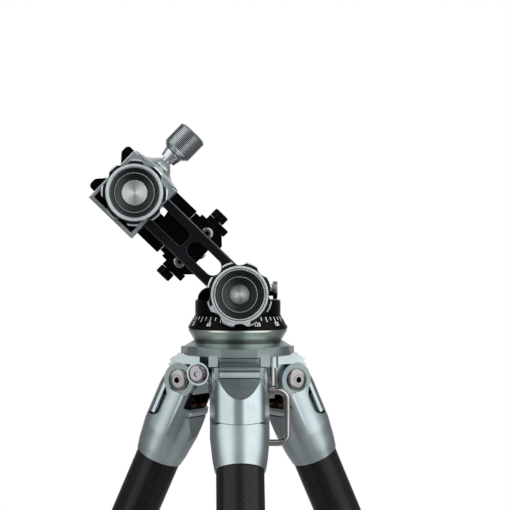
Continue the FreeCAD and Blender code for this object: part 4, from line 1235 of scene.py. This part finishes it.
@dataclass
class Leg:
    """One leg: casting, angle tab, three carbon tubes, two twist locks and a foot."""

    side: Side
    edge: float = 0.0006
    tube_faces: int = 96
    tube_lip: float = 0.0004
    tab_flat: tuple[float, float] = (17.7, 6.4)
    inner_flat: tuple[float, float] = (24.0, -5.5)
    ear_reach: float = 0.022
    slot_half: float = 0.0139
    slot_floor: float = 0.0168
    bar_size: tuple[float, float, float] = (0.0244, 0.0024, 0.0034)
    bar_inset: float = 0.0151
    bar_depth: float = 0.0199
    bar_edge: float = 0.0007
    coil_inset: float = 0.0126
    coil_depth: float = 0.0146
    coil_radius: float = 0.0012
    coil_wire: float = 0.00022
    coil_length: float = 0.0050
    coil_middle: float = 0.0066
    coil_turns: int = 6
    coil_stops: int = 14
    wire_faces: int = 8

    def __post_init__(self) -> None:
        """Reads the leg's hinge and its directions from the frame."""
        name = self.side.value
        self.casting = "leg_casting_" + name
        self.hinge, self.across = joint_place("splay_" + name), joint_axis("splay_" + name)
        self.down = joint_axis("middle_reach_" + name)
        inward = self.down.cross(self.across).normalized()
        self.inward = -inward if inward.dot(self.hinge) > 0.0 else inward

    def build(self) -> list[Piece]:
        """Builds the leg's pieces."""
        name = self.side.value
        casting = softened(self.casting, GREY, self.edge, 3)
        self.dress_hinge(casting)
        tab = softened("angle_tab_" + name, TAB_GREY, self.edge)
        for piece, (reach, drop), way in ((tab, self.tab_flat, -1), (casting, self.inner_flat, 1)):
            crease_flat(piece, (way * (reach * self.inward + drop * self.down)).normalized())
        return [casting, tab, self.latch_bar(), self.springs(),
                *(self.tube(f"{section}_tube_{name}") for section in ("upper", "middle", "lower")),
                *(softened(lock + name, RUBBER, 0.0003) for lock in ("upper_lock_", "lower_lock_")),
                softened("foot_" + name, RUBBER, 0.0004)]

    def dress_hinge(self, casting: Piece) -> None:
        """Gives the faces inside the hinge slot black as painted shade, and the ears' flats a darker grey as
        painted shade.

        Args:
            casting: The leg's casting.
        """
        def in_slot(face: Face) -> bool:
            """Says whether a face lies in the slot, which is painted black as shade."""
            place = face.center - self.hinge
            within = abs(place.dot(self.across)) < self.slot_half
            return within and place.dot(self.down) < self.slot_floor

        def on_ear(face: Face) -> bool:
            """Says whether a face is an ear's flat, which takes painted shade."""
            facing = abs(face.normal.dot(self.across)) > SQUARE_COSINE
            return facing and (face.center - self.hinge).length < self.ear_reach

        # Painted shade: the faces inside the hinge slot take black.
        paint(casting, BLACK, in_slot)
        # Painted shade: the ears' flats take a darker copy of the grey anodising.
        paint(casting, EAR_PAINTED_SHADE, on_ear)

    def latch_bar(self) -> Piece:
        """Builds the bar of the angle latch, across the casting's inner side.

        Returns:
            The new piece.
        """
        mesh = bmesh.new()
        bmesh.ops.create_cube(mesh, size=1.0)
        bmesh.ops.scale(mesh, vec=self.bar_size, verts=mesh.verts)
        bmesh.ops.bevel(mesh, geom=list(mesh.edges), offset=self.bar_edge, segments=3, profile=0.5,
                        affect="EDGES")
        place = self.hinge + self.inward * self.bar_inset + self.down * self.bar_depth
        return new_piece("latch_bar_" + self.side.value, mesh, PALE, self.casting,
                         axes_matrix(place, self.down, self.across))

    def springs(self) -> Piece:
        """Builds the two coil springs of the angle latch.

        Returns:
            One piece with both.
        """
        place = self.hinge + self.inward * self.coil_inset + self.down * self.coil_depth
        mesh = bmesh.new()
        for way in (1.0, -1.0):
            self.coil(mesh, place + self.across * way * self.coil_middle)
        return new_piece("latch_springs_" + self.side.value, mesh, COPPER, self.casting)

    def coil(self, mesh: Mesh, middle: Vector) -> None:
        """Adds one coil of round wire along the hinge's axis.

        Args:
            mesh: The mesh to add to.
            middle: The coil's middle.
        """
        along, stops = self.across, self.coil_stops * self.coil_turns
        turns = [math.tau * k / self.wire_faces for k in range(self.wire_faces)]
        rings = []
        for share in (stop / stops for stop in range(stops + 1)):
            angle = math.tau * self.coil_turns * share
            out = self.down * math.cos(angle) + self.inward * math.sin(angle)
            centre = middle + along * (share - 0.5) * self.coil_length + out * self.coil_radius
            rings.append([mesh.verts.new(centre + (out * math.cos(turn) + along * math.sin(turn))
                                         * self.coil_wire) for turn in turns])
        lofted(mesh, rings)
        mesh.faces.new(rings[0])
        mesh.faces.new(rings[-1])
        bmesh.ops.recalc_face_normals(mesh, faces=mesh.faces)

    def tube(self, node: str) -> Piece:
        """Builds one carbon tube, with its surface laid out in metres for the weave.

        Args:
            node: The tube's node.

        Returns:
            The piece that stands for it.
        """
        corners = (vertex.co - self.hinge for vertex in cad_mesh(node).vertices)
        places = [along_and_off(corner, self.down) for corner in corners]
        start, end = min(places)[0], max(places)[0]
        radii = [radius for _, radius in places]
        outer, inner, lip = max(radii), min(radii), self.tube_lip
        profile = [(inner, start), (outer - lip, start), (outer, start + lip), (outer, end - lip),
                   (outer - lip, end), (inner, end)]
        mesh = turned(profile, self.tube_faces)
        weave = mesh.loops.layers.uv.new("weave")
        pitch = math.tau * outer / self.tube_faces
        for index, face in enumerate(mesh.faces):
            ring, k = divmod(index, self.tube_faces)
            near, far = profile[ring][1] - start, profile[(ring + 1) % len(profile)][1] - start
            corners = ((k, near), (k + 1, near), (k + 1, far), (k, far))
            for loop, (turn, along) in zip(face.loops, corners):
                loop[weave].uv = (pitch * turn, along)
        return new_piece(node + "_weave", mesh, CARBON, node,
                         axes_matrix(self.hinge, self.down, self.across), replaces=True)


# --- studio
@dataclass(frozen=True)
class Panel:
    """One soft panel far around the part, in degrees from the camera's side and from level."""

    azimuth: float
    elevation: float
    half_width: float
    half_height: float
    soft: float
    level: float


@dataclass
class Studio:
    """Camera, lamp, pale floor and white surroundings."""

    lens: float = 116.5
    sensor: float = 36.0
    distance: float = 1.155
    eye_height: float = 0.099
    turn_deg: float = 2.0
    axis_offset: float = 0.012
    floor_radius: float = 0.85
    floor_fade: Band = (0.45, 0.97)
    floor_grey: float = 0.80
    floor_roughness: float = 0.9
    floor_sides: int = 96
    floor_gap: float = 0.0002
    clip: Band = (0.05, 50.0)
    floor_mirrored: float = 0.42
    ambient: float = 0.25
    back_level: float = 0.5
    back_half_width: float = 14.0
    back_soft: float = 22.0
    panels: list[Panel] = field(default_factory=lambda: [
        Panel(-50.0, -9.0, 9.0, 6.0, 22.0, 1.65),
        Panel(-64.0, 40.0, 21.0, 21.0, 22.0, 1.85),
        Panel(48.0, -9.0, 19.0, 6.0, 22.0, 1.9),
        Panel(59.0, 40.0, 30.0, 21.0, 22.0, 2.1),
        Panel(0.0, 36.0, 24.0, 14.0, 22.0, 0.32),
        Panel(0.0, 64.0, 26.0, 3.0, 9.0, 0.8),
    ])
    lamp_place: Vector = field(default_factory=lambda: Vector((0.0, -0.3, 1.6)))
    lamp_aim: Vector = field(default_factory=lambda: Vector((0.0, 0.0, -0.4)))
    lamp_size: float = 1.6
    lamp_power: float = 12.0

    def build(self) -> None:
        """Sets up the whole studio."""
        self.camera()
        self.lamp()
        self.surroundings()
        self.floor()
        bpy.context.scene.view_settings.view_transform = "Standard"

    def camera(self) -> None:
        """Puts the camera level in front of the head."""
        turn = math.radians(self.turn_deg)
        forward = Vector((math.sin(turn), math.cos(turn), 0.0))
        right = Vector((math.cos(turn), -math.sin(turn), 0.0))
        place = -self.distance * forward + self.axis_offset * right
        place.z = self.eye_height
        data = bpy.data.cameras.new("camera")
        data.lens = self.lens
        data.sensor_width = self.sensor
        data.clip_start, data.clip_end = self.clip
        bpy.context.scene.camera = in_scene("camera", data)
        bpy.context.scene.camera.matrix_world = self.aimed(place, forward)

    def lamp(self) -> None:
        """Hangs the soft lamp over the floor."""
        light = bpy.data.lights.new("floor_light", "AREA")
        light.shape = "RECTANGLE"
        light.size = light.size_y = self.lamp_size
        light.energy = self.lamp_power
        lamp = in_scene("floor_light", light)
        lamp.matrix_world = self.aimed(self.lamp_place, self.lamp_aim - self.lamp_place)
        lamp.visible_camera = lamp.visible_glossy = False

    @staticmethod
    def aimed(place: Vector, toward: Vector) -> Matrix:
        """Returns the placement of a camera or lamp that looks in a direction."""
        return Matrix.Translation(place) @ toward.to_track_quat("-Z", "Y").to_matrix().to_4x4()

    def surroundings(self) -> None:
        """Makes the world white to the eye, and soft panels around the part to its surfaces."""
        world = bpy.data.worlds.new("studio")
        bpy.context.scene.world = world
        g = Graph(world)
        x, y, z = g.split(g.point("Generated"))
        azimuth = g.maths("DEGREES", g.maths("ARCTAN2", x, g.maths("MULTIPLY", y, -1.0)))
        elevation = g.maths("DEGREES", g.maths("ARCSINE", z))
        light = self.ambient
        for panel in self.panels:
            across = g.hump(azimuth, panel.azimuth, panel.half_width, panel.soft)
            upward = g.hump(elevation, panel.elevation, panel.half_height, panel.soft)
            light = g.maths("MULTIPLY_ADD", g.maths("MULTIPLY", across, upward), panel.level, light)
        behind = g.hump(g.maths("ABSOLUTE", azimuth), 180.0, self.back_half_width, self.back_soft)
        light = g.maths("MULTIPLY_ADD", behind, self.back_level, light)
        path = g.add("ShaderNodeLightPath").outputs
        seen = g.maths("MAXIMUM", path["Is Camera Ray"], path["Is Transmission Ray"])
        strength = g.blended(seen, light, 1.0, kind="FLOAT")
        g.finished(g.add("ShaderNodeBackground", (1.0, 1.0, 1.0), strength))

    def floor(self) -> None:
        """Lays a pale round floor that fades out towards its rim."""
        mesh = bmesh.new()
        bmesh.ops.create_circle(mesh, cap_ends=True, segments=self.floor_sides,
                                radius=self.floor_radius)
        data = bpy.data.meshes.new("floor")
        mesh.to_mesh(data)
        mesh.free()
        floor = in_scene("floor", data)
        floor.location = (0.0, 0.0, cad_box[0].z - self.floor_gap)
        g = Graph(bpy.data.materials.new("pale_floor"))
        mirrored = g.add("ShaderNodeLightPath").outputs["Is Glossy Ray"]
        colour = g.blended(mirrored, (self.floor_grey,) * 3, (self.floor_mirrored,) * 3)
        paper = g.add("ShaderNodeBsdfPrincipled", colour, Roughness=self.floor_roughness)
        near, far = (share * self.floor_radius for share in self.floor_fade)
        fade = g.spread(g.vectors("LENGTH", g.point())[1], near, far)
        clear = g.add("ShaderNodeBsdfTransparent")
        data.materials.append(g.finished(g.add("ShaderNodeMixShader", fade, paper.outputs[0],
                                               clear.outputs[0])))


def write_sizes() -> None:
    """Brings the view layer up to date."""
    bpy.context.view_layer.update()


def dress_hidden_nodes() -> None:
    """Gives the nodes that stay from the frame their finish."""
    for node in ("mounting_stud", "pan_spindle", "spindle_nut", "arm_screws"):
        cad_mesh(node).materials.clear()
        cad_mesh(node).materials.append(material_of(STEEL))


def main() -> None:
    """Builds every sub-assembly in order and reports its pieces."""
    logging.basicConfig(level=logging.INFO, format="%(relativeCreated)d ms: %(message)s")
    # Pale lines are painted highlights on the dishes' step edges; the black and dark lines are painted shade.
    upper_painted_lines = [DishLine(0.01305, 0.01345, PALE), DishLine(0.0148, 0.0150, BLACK)]
    lower_painted_lines = [DishLine(0.0172, 0.0178, DISH), DishLine(0.01165, 0.01205, PALE),
                   DishLine(0.0139, 0.0142, BLACK)]
    assemblies = [
        Shoulder(),
        PanningBase(),
        TiltArm(),
        UpperHousing(),
        LobedKnob("upper_knob", Pin.UPPER_KNOB, upper_painted_lines),
        # The lower disc takes a deeper painted shade towards its rim.
        LobedKnob("lower_knob", Pin.LOWER_KNOB, lower_painted_lines, rim_share=0.22),
        Cradle(),
        *(Leg(side) for side in Side),
    ]
    for assembly in assemblies:
        for piece in assembly.build():
            log.info("%s: %s", type(assembly).__name__, piece.name)
    dress_hidden_nodes()
    Studio().build()
    write_sizes()


if __name__ == "__main__":
    main()
